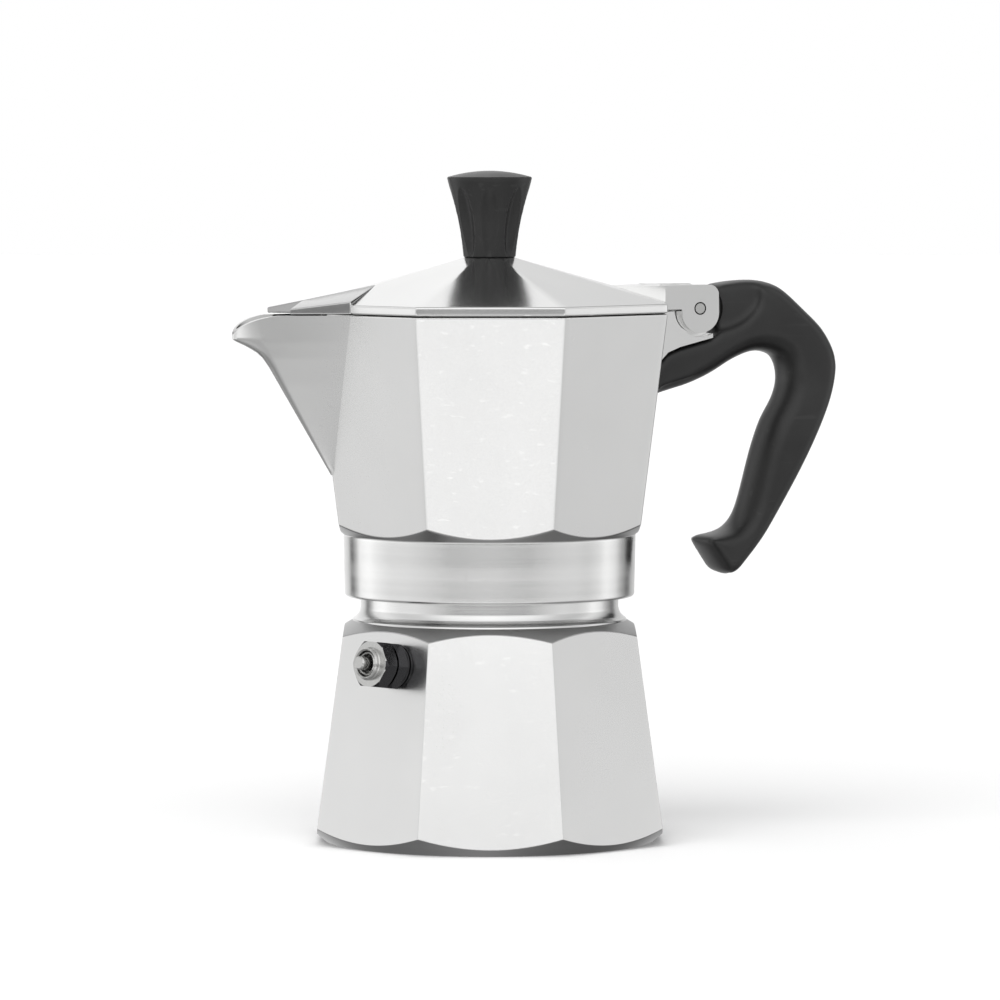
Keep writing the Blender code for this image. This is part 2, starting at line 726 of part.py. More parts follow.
def spout_shape(name, wall, metal):
    z0, z1, tip_z = SPOUT_KEEL[0][1], SPOUT_KEEL[1][1], SPOUT_TIP[1]
    levels = [z0 + 0.0012 + (z1 - z0 - 0.0012) * i / 4 for i in range(5)]
    levels += [z1 + (tip_z - z1) * t for t in (0.3, 0.55, 0.75, 0.9, 1.0)]
    levels += [(tip_z + RIM_Z) / 2, RIM_Z - SPOUT_STEP]
    if wall:
        levels = [z + 0.8 * wall for z in levels]
        levels[0] += 2 * wall
    return loft(name, [spout_section(z, wall) for z in levels], metal)


def lip_cutter(metal):
    """What is cut away over the spout's curved pouring lip."""
    tip_x, tip_z = SPOUT_TIP
    drop = RIM_Z - tip_z
    run = SPOUT_LIP_X - tip_x
    lip = [(SPOUT_LIP_X + 0.004, RIM_Z + 0.0002)]
    for step in range(9):
        turn = math.pi / 2 * step / 8
        lip.append((SPOUT_LIP_X - run * math.sin(turn), RIM_Z - drop * (1 - math.cos(turn)) + 0.0001))
    front, top = tip_x - 0.004, RIM_Z + 0.006
    lip += [(front, tip_z - 0.001), (front, top), (SPOUT_LIP_X + 0.004, top)]
    return slab("lip_cutter", lip, -0.02, 0.02, metal)


def tongue_outline(gap, x_from):
    """The tongue from the side, grown by gap."""
    x_to = TONGUE_X[1] + gap
    half = TONGUE_HALF[1] + gap
    return [
        (x, TONGUE_Z + TONGUE_RISE * (x - TONGUE_X[0]) + side * half)
        for x, side in ((x_from, -1), (x_to, -1), (x_to, 1), (x_from, 1))
    ]


def add_hinge_lug(collector, metal):
    """The lug over the handle's arm, with its knuckle between the lid's ears, and the handle's tongue."""
    top = RIM_Z - 0.0002
    back = PIN_X + 0.0034
    edge = [(PIN_X - 0.0136, top), (PIN_X, top), (back, PIN_Z - 0.0043), (back, PIN_Z - 0.0071)]
    edge += [(PIN_X - 0.0052, PIN_Z - 0.0092), (PIN_X - 0.0084, PIN_Z - 0.0105)]
    edge.append((PIN_X - 0.0136, PIN_Z - 0.0158))
    lug = slab("hinge_lug", edge, -HINGE_HALF_WIDTH, HINGE_HALF_WIDTH, metal)
    for side in (-1, 1):
        inner = side * (HINGE_GAP_Y - GAP)
        outer = side * (HINGE_HALF_WIDTH + 0.002)
        ends = ((PIN_X, inner, PIN_Z), (PIN_X, outer, PIN_Z))
        combine(lug, "DIFFERENCE", rod(f"ear_pocket_{side}", EAR_SWEEP_R, *ends, metal, 32))
    half = HINGE_GAP_Y - 2 * GAP
    knuckle = rod("hinge_knuckle", KNUCKLE_R, (PIN_X, -half, PIN_Z), (PIN_X, half, PIN_Z), metal, 32)
    combine(lug, "UNION", knuckle)
    y = TONGUE_HALF[0]
    combine(lug, "UNION", slab("handle_tongue", tongue_outline(0, TONGUE_X[0]), -y, y, metal))
    bore_r = PIN_R + GAP
    bore = rod("pin_bore", bore_r, (PIN_X, -0.01, PIN_Z), (PIN_X, 0.01, PIN_Z), metal, 18)
    combine(lug, "DIFFERENCE", bore)
    x = HANDLE_SCREW_X
    screw_r = HANDLE_SCREW_R + GAP
    ends = ((x, 0, HANDLE_SCREW_Z[0] - 0.0006), (x, 0, HANDLE_SCREW_Z[2] + 0.0027))
    hole = rod("tongue_hole", screw_r, *ends, metal, 15)
    combine(lug, "DIFFERENCE", hole)
    inside = COLLECTOR_WALL / 2
    low, high = TONGUE_Z - 0.02, RIM_Z + 0.01
    core_stations = [(0, low), on_facets(inside, low), on_facets(inside, high), (0, high)]
    combine(lug, "DIFFERENCE", revolve("chamber_core", core_stations, metal, None, SIDES))
    combine(collector, "UNION", lug)


def lid_top(r, c):
    """Height of the lid's pitched top at radius r."""
    return LID_RIM_Z + LID_SLOPE * (LID_A - r * c)


def lid_station(a, z):
    """A station on an octagon whose facets are a from the centre."""
    return lambda angle: (a / facet_cos(angle), z)


def make_lid(metal):
    lip_out = RIM_A - COLLECTOR_WALL - 2 * GAP
    lip_in = lip_out - LID_LIP_WIDTH
    under = LID_RIM_Z + LID_SLOPE * (LID_A - lip_in) - LID_WALL
    bore = KNOB_SCREW_R + GAP
    lid = revolve(
        "lid",
        [
            (bore, LID_SEAT_Z),
            (bore, LID_BOSS_Z),
            (LID_BOSS_R, LID_BOSS_Z),
            lambda angle: (LID_BOSS_R + 0.0006, lid_top(LID_BOSS_R + 0.0006, facet_cos(angle)) - LID_WALL),
            lid_station(lip_in, under),
            lid_station(lip_in, LID_BASE_Z - LID_LIP),
            lid_station(lip_out, LID_BASE_Z - LID_LIP),
            lid_station(lip_out, LID_BASE_Z),
            lid_station(LID_A, LID_BASE_Z),
            lid_station(LID_A, LID_RIM_Z),
            lambda angle: (LID_SEAT_R + 0.0006, lid_top(LID_SEAT_R + 0.0006, facet_cos(angle))),
            (LID_SEAT_R, LID_SEAT_Z),
        ],
        metal,
    )
    combine(lid, "UNION", beak_shape(metal))
    wedge = hinge_wedge(metal)
    combine(lid, "UNION", wedge)
    bore = rod("ear_bore", PIN_R + GAP, (PIN_X, -0.01, PIN_Z), (PIN_X, 0.01, PIN_Z), metal, 16)
    combine(lid, "DIFFERENCE", bore)
    return lid


def beak_shape(metal):
    """The gabled beak that covers the spout, with a notch between two prongs."""
    root_z, corner_z, notch_z, prong_z = [RIM_Z + rise for rise in BEAK_RISE]
    corner_x = -RIM_CORNER + SPOUT_HALF_WIDTH * math.tan(HALF_SIDE)
    prong_x, prong_y = BEAK_PRONG
    bm = bmesh.new()
    plan = [
        (BEAK_ROOT_X, 0, root_z),
        (corner_x, SPOUT_HALF_WIDTH, corner_z),
        (prong_x, prong_y, prong_z),
        (BEAK_NOTCH_X, 0, notch_z),
        (prong_x, -prong_y, prong_z),
        (corner_x, -SPOUT_HALF_WIDTH, corner_z),
    ]
    top = [bm.verts.new(point) for point in plan]
    low = [bm.verts.new((x, y, LID_BASE_Z)) for x, y, _ in plan]
    low[0].co = (BEAK_ROOT_X - 0.001, 0, root_z - 0.0020)
    for ring in (top, low):
        for corners in ((0, 1, 3), (1, 2, 3), (3, 4, 5), (0, 3, 5)):
            bm.faces.new([ring[i] for i in corners])
    for i in range(6):
        bm.faces.new((top[i - 1], top[i], low[i], low[i - 1]))
    return add_object("lid_beak", bm, metal)


def hinge_wedge(metal):
    """The flat-topped wedge on the lid that ends in two ears."""
    y = HINGE_HALF_WIDTH
    bm = bmesh.new()
    plan = [(HINGE_ROOT_X, 0.0002), (HINGE_FRONT_X, y), (HINGE_NOTCH_X, y)]
    plan += [(HINGE_NOTCH_X, -y), (HINGE_FRONT_X, -y), (HINGE_ROOT_X, -0.0002)]
    root = EAR_TOP_Z - 0.0020
    under = [root, LID_BASE_Z, LID_BASE_Z, LID_BASE_Z, LID_BASE_Z, root]
    top = [bm.verts.new((px, py, EAR_TOP_Z - 0.0001)) for px, py in plan]
    low = [bm.verts.new((px, py, z)) for (px, py), z in zip(plan, under)]
    bm.faces.new(top)
    bm.faces.new((low[1], low[2], low[3], low[4]))
    bm.faces.new((low[0], low[1], low[4], low[5]))
    for i in range(6):
        bm.faces.new((top[i - 1], top[i], low[i], low[i - 1]))
    wedge = add_object("lid_wedge", bm, metal)
    back = PIN_X + EAR_BACK
    lobe = (PIN_X + 0.0001, PIN_Z - 0.0010)
    outline = [(HINGE_FRONT_X, EAR_TOP_Z), *arc((back - 0.0026, EAR_TOP_Z - 0.0026), 0.0026, 90, 15, 5)]
    outline += [*arc(lobe, EAR_LOBE_R, 0, -180, 14), (lobe[0] - EAR_LOBE_R, LID_BASE_Z)]
    outline.append((HINGE_FRONT_X, LID_BASE_Z))
    for side in (-1, 1):
        ear = slab(f"lid_ear_{side}", outline, side * HINGE_GAP_Y, side * HINGE_HALF_WIDTH, metal)
        combine(wedge, "UNION", ear)
    return wedge


def make_hinge_pin(steel):
    half = HINGE_HALF_WIDTH
    rod("hinge_pin", PIN_R, (PIN_X, -half, PIN_Z), (PIN_X, half, PIN_Z), steel, 16)


def knob_radius(z):
    """The knob's side: a slightly hollow cone."""
    foot = LID_SEAT_Z + GAP
    t = (z - foot) / (KNOB_EDGE_Z - foot)
    return KNOB_FOOT_R + (KNOB_EDGE_R - KNOB_FOOT_R) * (0.72 * t + 0.28 * t * t)


def make_knob(plastic, brass, steel):
    foot = LID_SEAT_Z + GAP
    insert_top = foot + GAP + INSERT_LENGTH
    flute_from, flute_to = foot + 0.0005, KNOB_EDGE_Z - 0.0022

    def side(z):
        t = min(1.0, max(0.0, (z - flute_from) / (flute_to - flute_from)))
        depth = KNOB_FLUTE_DEPTH * math.sin(math.pi * t) ** 0.6

        def at(angle):
            step = 2 * math.pi / KNOB_FLUTES
            off = abs((angle % step) - step / 2) / KNOB_FLUTE_HALF
            return knob_radius(z) - depth * max(0.0, 1 - off * off), z

        return at

    hole_r = INSERT_R + GAP
    hole_top = insert_top + GAP
    stations = [(0, hole_top), (hole_r, hole_top), (hole_r, foot), (KNOB_FOOT_R - 0.0003, foot)]
    stations += [side(foot + 0.0003 + (flute_to - foot - 0.0003) * i / 8) for i in range(9)]
    stations += [(KNOB_EDGE_R - 0.0001, KNOB_EDGE_Z - 0.0006), (KNOB_EDGE_R, KNOB_EDGE_Z)]
    rise = KNOB_TOP_Z - KNOB_EDGE_Z
    stations += [(KNOB_EDGE_R * share, KNOB_EDGE_Z + rise * (1 - share**2)) for share in (0.93, 0.7, 0.35)]
    stations.append((0, KNOB_TOP_Z))
    revolve("knob", stations, plastic)
    bore = KNOB_SCREW_R + GAP
    revolve(
        "knob_insert",
        [(bore, foot + GAP), (INSERT_R, foot + GAP), (INSERT_R, insert_top), (bore, insert_top)],
        brass,
        None,
        24,
    )
    washer_r, washer = KNOB_WASHER
    washer_top = LID_BOSS_Z - GAP
    revolve(
        "knob_washer",
        [
            (bore, washer_top - washer),
            (washer_r, washer_top - washer),
            (washer_r, washer_top),
            (bore, washer_top),
        ],
        steel,
        None,
        24,
    )
    head_r, head = KNOB_SCREW_HEAD
    head_top = washer_top - washer - GAP
    screw = revolve(
        "knob_screw",
        [
            (0, head_top - head),
            (head_r - 0.0006, head_top - head),
            (head_r, head_top - head + 0.0008),
            (head_r, head_top),
            (KNOB_SCREW_R, head_top),
            (KNOB_SCREW_R, insert_top - 0.0006),
            (KNOB_SCREW_R - 0.0006, insert_top),
            (0, insert_top),
        ],
        steel,
        None,
        24,
    )
    low = head_top - head
    cut = [(-0.01, low - 0.001), (0.01, low - 0.001), (0.01, low + 0.0008), (-0.01, low + 0.0008)]
    combine(screw, "DIFFERENCE", slab("knob_screw_slot", cut, -0.0005, 0.0005, steel))


def handle_outline():
    """The handle from the side, as (x, z, roundness): arm under the hinge, curved grip and flat foot. Its
    points are set out from the hinge pin."""
    under = [(-0.0126, -0.0219), (-0.0073, -0.0203), (-0.0008, -0.0185), (0.0050, -0.0161), (0.0108, -0.0128)]
    inside = [(0.0158, -0.0109), (0.0195, -0.0108), (0.0233, -0.0124), (0.0249, -0.0169)]
    inside += [(0.0238, -0.0217), (0.0206, -0.0273), (0.0178, -0.0350), (0.0141, -0.0480)]
    inner_foot = [(0.0113, -0.0526), (0.0078, -0.0544), (0.0039, -0.0551)]
    foot = [(0.0031, -0.0564), (0.0081, -0.0639), (0.0098, -0.0649)]
    outer_foot = [(0.0122, -0.0636), (0.0184, -0.0569)]
    outside = [(0.0231, -0.0501), (0.0295, -0.0394), (0.0340, -0.0307), (0.0371, -0.0232), (0.0385, -0.0175)]
    outside += [(0.0387, -0.0135), (0.0376, -0.0096), (0.0346, -0.0048), (0.0296, -0.0001)]
    cheek = [(0.0252, 0.0037), (0.0219, 0.0056), (0.0171, 0.0066), (0.0109, 0.0063), (0.0058, 0.0054)]
    hinge_side = [(0.0056, -0.0060), (0.0033, -0.0075), (-0.0051, -0.0097), (-0.0084, -0.0110)]
    hinge_side.append((-0.0126, -0.0158))
    line = curve_through(with_shares(under + inside, [1.0]) + with_shares(inner_foot, [0.8, 0.5, 0.3]), 2)
    line += with_shares(foot, [0.25, 0.25, 0.3])
    back = with_shares(outer_foot, [0.5, 0.8]) + with_shares(outside, [1.0])
    line += curve_through(back + with_shares(cheek, [0.95, 0.8, 0.6, 0.4, 0.2]), 2)
    line += with_shares(hinge_side, [0.0])
    return [(PIN_X + x, PIN_Z + z, share) for x, z, share in line]


def with_shares(points, shares):
    """The points with a roundness each. The last one holds for those left over."""
    shares = shares + shares[-1:] * (len(points) - len(shares))
    return [(x, z, share) for (x, z), share in zip(points, shares)]


def inset(outline, depth):
    """The outline's points moved inwards by depth times each one's roundness."""
    moved = []
    for before, (x, z, share), after in zip([outline[-1], *outline], outline, [*outline[1:], outline[0]]):
        run, rise = after[0] - before[0], after[1] - before[1]
        length = math.hypot(run, rise)
        moved.append((x - rise / length * depth * share, z + run / length * depth * share))
    return moved


def oval_bar(name, outline, surface):
    """A bar with this outline from the side, whose edges are quarter ovals."""
    depth, width = HANDLE_ROUND
    quarter = [math.pi / 2 * step / HANDLE_ROUND_STEPS for step in range(HANDLE_ROUND_STEPS + 1)]
    rows = [(HANDLE_HALF - width * (1 - math.sin(turn)), depth * (1 - math.cos(turn))) for turn in quarter]
    rows = [(-y, inwards) for y, inwards in reversed(rows)] + rows
    return loft(name, [[(x, y, z) for x, z in inset(outline, inwards)] for y, inwards in rows], surface)


def make_handle(plastic, steel):
    handle = oval_bar("handle", handle_outline(), plastic)
    chamber = revolve(
        "handle_end_cutter",
        [
            (0, COLUMN_TOP_Z - 0.02),
            on_facets(-GAP, COLUMN_TOP_Z - 0.02),
            on_facets(-GAP, RIM_Z + 0.02),
            (0, RIM_Z + 0.02),
        ],
        plastic,
    )
    combine(handle, "DIFFERENCE", chamber, "MANIFOLD")
    y = TONGUE_HALF[0] + GAP
    slot = slab("tongue_slot", tongue_outline(GAP, TONGUE_X[0] - 0.004), -y, y, plastic)
    combine(handle, "DIFFERENCE", slot, "MANIFOLD")
    cheek_x, cheek_z = PIN_X + 0.0065, PIN_Z - 0.0002
    scoop = [(cheek_x + 0.0105 * math.cos(a), cheek_z + 0.0068 * math.sin(a)) for a in circle(24)]
    tilt = Matrix.Rotation(math.radians(-14), 4, "Y")
    for side in (-1, 1):
        inner = side * (HINGE_GAP_Y - GAP)
        outer = side * (HANDLE_HALF + 0.004)
        ends = ((PIN_X, inner, PIN_Z), (PIN_X, outer, PIN_Z))
        clearance = rod(f"ear_clearance_{side}", EAR_SWEEP_R + GAP, *ends, plastic, 32)
        combine(handle, "DIFFERENCE", clearance, "MANIFOLD")
        hollow = slab(f"cheek_hollow_{side}", scoop, side * (HANDLE_HALF - 0.0020), outer, plastic)
        pivot = Matrix.Translation((PIN_X, 0, PIN_Z))
        hollow.matrix_world = pivot @ tilt @ pivot.inverted()
        combine(handle, "DIFFERENCE", hollow, "MANIFOLD")
    knuckle_room = KNUCKLE_R + 2 * GAP
    ends = ((PIN_X, -0.01, PIN_Z), (PIN_X, 0.01, PIN_Z))
    combine(handle, "DIFFERENCE", rod("knuckle_room", knuckle_room, *ends, plastic, 32), "MANIFOLD")
    head_z, neck_z, tip_z = HANDLE_SCREW_Z
    x = HANDLE_SCREW_X
    below = (x, 0, head_z - 0.01)
    counterbore = rod("screw_counterbore", HANDLE_SCREW_HEAD_R + GAP, below, (x, 0, neck_z + GAP), plastic)
    combine(handle, "DIFFERENCE", counterbore, "MANIFOLD")
    shank = rod("screw_clearance", HANDLE_SCREW_R + GAP, below, (x, 0, tip_z), plastic, 16)
    combine(handle, "DIFFERENCE", shank, "MANIFOLD")
    screw = revolve(
        "handle_screw",
        [
            (0, head_z),
            (HANDLE_SCREW_HEAD_R, head_z),
            (HANDLE_SCREW_HEAD_R, neck_z),
            (HANDLE_SCREW_R, neck_z),
            (HANDLE_SCREW_R, tip_z),
            (0, tip_z),
        ],
        steel,
        Matrix.Translation((x, 0, 0)),
        16,
    )
    slot_top = head_z + 0.0005
    cut = [(x - 0.01, head_z - 0.001), (x + 0.01, head_z - 0.001), (x + 0.01, slot_top), (x - 0.01, slot_top)]
    combine(screw, "DIFFERENCE", slab("handle_screw_slot", cut, -0.0004, 0.0004, steel))


def circle(steps):
    return [2 * math.pi * step / steps for step in range(steps)]


def hang(name, place, pieces):
    """An empty on a joint's axis, which carries the pieces that move about it."""
    pivot = bpy.data.objects.new(name, None)
    pivot.location = place
    bpy.context.scene.collection.objects.link(pivot)
    bpy.context.view_layer.update()
    for piece in pieces:
        bpy.data.objects[piece].parent = pivot
        bpy.data.objects[piece].matrix_parent_inverse = pivot.matrix_world.inverted()


def main():
    for old in list(bpy.data.objects):
        bpy.data.objects.remove(old, do_unlink=True)
    aluminium = material("polished_aluminium", (0.80, 0.80, 0.79), 1.0, 0.28)
    pressed = material("pressed_aluminium", (0.72, 0.72, 0.71), 1.0, 0.35)
    nickel = material("dark_nickel", (0.16, 0.16, 0.16), 1.0, 0.30)
    steel = material("steel", (0.56, 0.56, 0.55), 1.0, 0.30)
    brass = material("brass", (0.71, 0.53, 0.25), 1.0, 0.30)
    plastic = material("black_plastic", (0.012, 0.012, 0.012), 0.0, 0.38)
    rubber = material("white_rubber", (0.78, 0.77, 0.73), 0.0, 0.60)
    make_boiler(aluminium)
    make_valve(nickel, steel, rubber)
    make_funnel(pressed, steel)
    make_gasket(rubber)
    make_filter_plate(pressed)
    make_collector(aluminium)
    make_lid(aluminium)
    make_hinge_pin(steel)
    make_knob(plastic, brass, steel)
    make_handle(plastic, steel)
    lid_pieces = ("lid", "knob", "knob_insert", "knob_screw", "knob_washer")
    hang("lid_hinge_axis", (PIN_X, 0, PIN_Z), lid_pieces)


main()
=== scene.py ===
"""Looks of a stovetop moka pot: fine meshes and finishes over its working model."""

import json
import math

import bmesh
import bpy
from bpy.props import FloatProperty, FloatVectorProperty, IntProperty, PointerProperty
from mathutils import Matrix, Vector


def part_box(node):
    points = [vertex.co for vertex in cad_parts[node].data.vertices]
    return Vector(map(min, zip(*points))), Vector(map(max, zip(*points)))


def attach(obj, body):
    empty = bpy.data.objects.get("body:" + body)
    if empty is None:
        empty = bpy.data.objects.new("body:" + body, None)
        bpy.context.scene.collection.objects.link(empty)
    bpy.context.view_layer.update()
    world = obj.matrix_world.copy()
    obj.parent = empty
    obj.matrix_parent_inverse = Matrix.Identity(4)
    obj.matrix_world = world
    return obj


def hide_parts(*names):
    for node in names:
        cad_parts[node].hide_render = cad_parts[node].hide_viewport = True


bl_info = {
    "name": "Moka pot",
    "version": (1, 0, 0),
    "blender": (4, 5, 0),
    "location": "3D View > Sidebar > Moka pot",
    "description": "Builds the visible pieces of a moka pot on its frame",
    "category": "Object",
}

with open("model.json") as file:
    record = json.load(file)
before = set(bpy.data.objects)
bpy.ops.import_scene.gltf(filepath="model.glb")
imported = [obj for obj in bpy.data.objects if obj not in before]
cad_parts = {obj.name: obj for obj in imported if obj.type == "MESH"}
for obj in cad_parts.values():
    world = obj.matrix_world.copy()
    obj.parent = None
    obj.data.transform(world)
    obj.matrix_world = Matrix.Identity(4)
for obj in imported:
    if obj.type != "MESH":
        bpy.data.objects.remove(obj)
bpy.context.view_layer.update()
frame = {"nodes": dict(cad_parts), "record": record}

SIDES = 8
GAP = 0.0003
HALF_SIDE = math.pi / SIDES
JOINTS = {joint["name"]: joint for joint in frame["record"]["behaviour"]["joints"]}
PIN = Vector(JOINTS["lid_hinge"]["pos_m"])
VALVE_AXIS = Vector(JOINTS["valve_lift"]["axis"]).normalized()
RIM_Z = PIN.z - 0.0002
NECK_TOP_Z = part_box("boiler")[1][2]
KNOB_LOW, KNOB_HIGH = (corner[2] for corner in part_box("knob"))

# The hinge, across its pin: the hole, the outside of the ears, their inside, and the slots they turn in
PIN_BORE_R = 0.00155
EAR_OUTER = 0.0080
EAR_INNER = 0.0046
EAR_SLOT = 0.0043

# The fourth finish, on the turned cones, has a darker base colour: painted shade for the floor they reflect
# and the shade they sit in
CAST_FINISHES = ("tumbled_aluminium", "turned_aluminium", "raw_casting", "cut_aluminium")
OUTSIDE, TURNED, INSIDE, CUT = range(4)


# Sizes and colours


class BodySizes(bpy.types.PropertyGroup):
    """Facets, belt and shoulders of the two chambers."""

    segments: IntProperty(name="Segments", description="Steps round a turned surface", default=160)
    edge: FloatProperty(name="Edge", description="Width of a broken edge", default=0.0004, unit="LENGTH")
    foot_flat: FloatProperty(
        name="Foot", description="Radius of the flat underside", default=0.0393, unit="LENGTH"
    )
    boiler_a: FloatProperty(
        name="Boiler facet", description="Centre to facet at the base", default=0.04155, unit="LENGTH"
    )
    boiler_draft: FloatProperty(name="Boiler draft", description="Inward lean of its facets", default=0.1335)
    shoulder_r: FloatProperty(
        name="Shoulder", description="Radius at the shoulder's top", default=0.0327, unit="LENGTH"
    )
    shoulder_z: FloatProperty(
        name="Shoulder height", description="Height of its top", default=0.0529, unit="LENGTH"
    )
    neck_r: FloatProperty(name="Neck", description="Radius of the neck", default=0.0308, unit="LENGTH")
    belt_r: FloatProperty(name="Belt", description="Radius of the turned belt", default=0.0349, unit="LENGTH")
    belt_low: FloatProperty(
        name="Belt bottom", description="Height of its lower edge", default=0.0586, unit="LENGTH"
    )
    belt_high: FloatProperty(
        name="Belt top", description="Height of its upper edge", default=0.0734, unit="LENGTH"
    )
    collector_a: FloatProperty(
        name="Rim facet", description="Centre to facet at the rim", default=0.0420, unit="LENGTH"
    )
    collector_draft: FloatProperty(
        name="Collector draft", description="Outward lean of its facets", default=0.1237
    )
    valve_hex: FloatProperty(name="Valve nut", description="Across the flats", default=0.0105, unit="LENGTH")
    valve_hex_end: FloatProperty(
        name="Nut face", description="From the boiler's face", default=0.0084, unit="LENGTH"
    )
    valve_reach: FloatProperty(
        name="Valve reach", description="From the boiler's face", default=0.0100, unit="LENGTH"
    )
    wall: FloatProperty(
        name="Wall", description="Thickness of the collector's wall", default=0.0027, unit="LENGTH"
    )


class FinishColours(bpy.types.PropertyGroup):
    """Base colours of the finishes."""

    aluminium: FloatVectorProperty(
        name="Aluminium", description="Cast body", default=(0.86, 0.86, 0.855), subtype="COLOR"
    )
    # Half as bright as the aluminium: painted shade. It darkens the turned cones, which reflect the dark
    # floor or sit in shade, and the lid's beak and wedge, which catch dark reflections
    cut: FloatVectorProperty(
        name="Cut faces", description="Turned cones of the body", default=(0.50, 0.50, 0.50), subtype="COLOR"
    )
    pressed: FloatVectorProperty(
        name="Sheet", description="Pressed sheet parts", default=(0.80, 0.80, 0.79), subtype="COLOR"
    )
    nickel: FloatVectorProperty(
        name="Nickel", description="Valve body", default=(0.055, 0.055, 0.058), subtype="COLOR"
    )
    steel: FloatVectorProperty(
        name="Steel", description="Pins and screws", default=(0.62, 0.62, 0.61), subtype="COLOR"
    )
    brass: FloatVectorProperty(
        name="Brass", description="Threaded insert", default=(0.76, 0.57, 0.27), subtype="COLOR"
    )
    plastic: FloatVectorProperty(
        name="Plastic", description="Handle and knob", default=(0.012, 0.012, 0.012), subtype="COLOR"
    )
    rubber: FloatVectorProperty(
        name="Rubber", description="Gasket and seal", default=(0.80, 0.79, 0.75), subtype="COLOR"
    )


def sizes():
    return bpy.context.scene.moka_sizes


def colours():
    return bpy.context.scene.moka_colours


# Shader groups


class Nodes:
    """Adds and links nodes in one tree."""

    def __init__(self, tree):
        self.tree = tree

    def add(self, kind, inputs=None, **settings):
        node = self.tree.nodes.new(kind)
        for name, value in settings.items():
            setattr(node, name, value)
        for name, value in (inputs or {}).items():
            if isinstance(value, bpy.types.NodeSocket):
                self.tree.links.new(value, node.inputs[name])
            else:
                node.inputs[name].default_value = value
        return node

    def math(self, operation, first, second=0.0, third=0.0, clamp=False):
        inputs = {0: first, 1: second, 2: third}
        return self.add("ShaderNodeMath", inputs, operation=operation, use_clamp=clamp).outputs[0]

    def remap(self, value, low, high, to_low, to_high):
        inputs = {"Value": value, "From Min": low, "From Max": high, "To Min": to_low, "To Max": to_high}
        return self.add("ShaderNodeMapRange", inputs).outputs["Result"]

    def mix(self, factor, first, second, blend="MIX"):
        inputs = {"Factor": factor, 6: first, 7: second}
        return self.add("ShaderNodeMix", inputs, data_type="RGBA", blend_type=blend).outputs[2]


def new_group(name, inputs, outputs):
    """An empty group with these sockets: names with defaults, and names of values put out."""
    group = bpy.data.node_groups.new(name, "ShaderNodeTree")
    for label, default in inputs.items():
        socket = group.interface.new_socket(label, in_out="INPUT", socket_type="NodeSocketFloat")
        socket.default_value = default
    for label in outputs:
        group.interface.new_socket(label, in_out="OUTPUT", socket_type="NodeSocketFloat")
    nodes = Nodes(group)
    return group, nodes, nodes.add("NodeGroupInput"), nodes.add("NodeGroupOutput")


def object_point(nodes):
    return nodes.add("ShaderNodeTexCoord").outputs["Object"]


def noise(nodes, vector, scale, detail=3.0, rough=0.6, dimensions="3D"):
    inputs = {"Vector": vector, "Scale": scale, "Detail": detail, "Roughness": rough}
    return nodes.add("ShaderNodeTexNoise", inputs, noise_dimensions=dimensions).outputs["Fac"]


def grain_group():
    """Fine satin grain with broad, faint clouds, as on tumbled metal or etched plastic."""
    group, nodes, given, put = new_group(
        "Satin grain", {"Grain": 2500.0, "Clouds": 40.0}, ("Height", "Fleck", "Cloud")
    )
    point = object_point(nodes)
    fine = noise(nodes, point, given.outputs["Grain"], 4.0, 0.7)
    coarse = noise(nodes, point, nodes.math("MULTIPLY", given.outputs["Grain"], 0.22), 2.0, 0.5)
    height = nodes.math("ADD", nodes.math("MULTIPLY", fine, 0.6), nodes.math("MULTIPLY", coarse, 0.4))
    cloud = noise(nodes, point, given.outputs["Clouds"], 3.0, 0.55)
    nodes.tree.links.new(height, put.inputs["Height"])
    nodes.tree.links.new(nodes.remap(fine, 0.35, 0.65, 0.0, 1.0), put.inputs["Fleck"])
    nodes.tree.links.new(nodes.remap(cloud, 0.3, 0.7, 0.0, 1.0), put.inputs["Cloud"])
    return group


def turning_group():
    """Rings left by a lathe tool around the upright axis."""
    group, nodes, given, put = new_group("Lathe rings", {"Pitch": 0.00016}, ("Height", "Band"))
    x, y, z = nodes.add("ShaderNodeSeparateXYZ", {"Vector": object_point(nodes)}).outputs
    squares = nodes.math("ADD", nodes.math("MULTIPLY", x, x), nodes.math("MULTIPLY", y, y))
    along = nodes.math("ADD", z, nodes.math("MULTIPLY", nodes.math("SQRT", squares), 0.73))
    turn = nodes.math("DIVIDE", along, given.outputs["Pitch"])
    groove = nodes.math("ABSOLUTE", nodes.math("SINE", nodes.math("MULTIPLY", turn, math.pi)))
    line = nodes.add("ShaderNodeCombineXYZ", {"X": turn}).outputs[0]
    uneven = noise(nodes, line, 0.37, 3.0, 0.7)
    broad = noise(nodes, line, 0.045, 2.0, 0.5)
    height = nodes.math("ADD", nodes.math("MULTIPLY", groove, 0.35), nodes.math("MULTIPLY", uneven, 0.65))
    nodes.tree.links.new(height, put.inputs["Height"])
    nodes.tree.links.new(nodes.remap(broad, 0.35, 0.65, 0.0, 1.0), put.inputs["Band"])
    return group


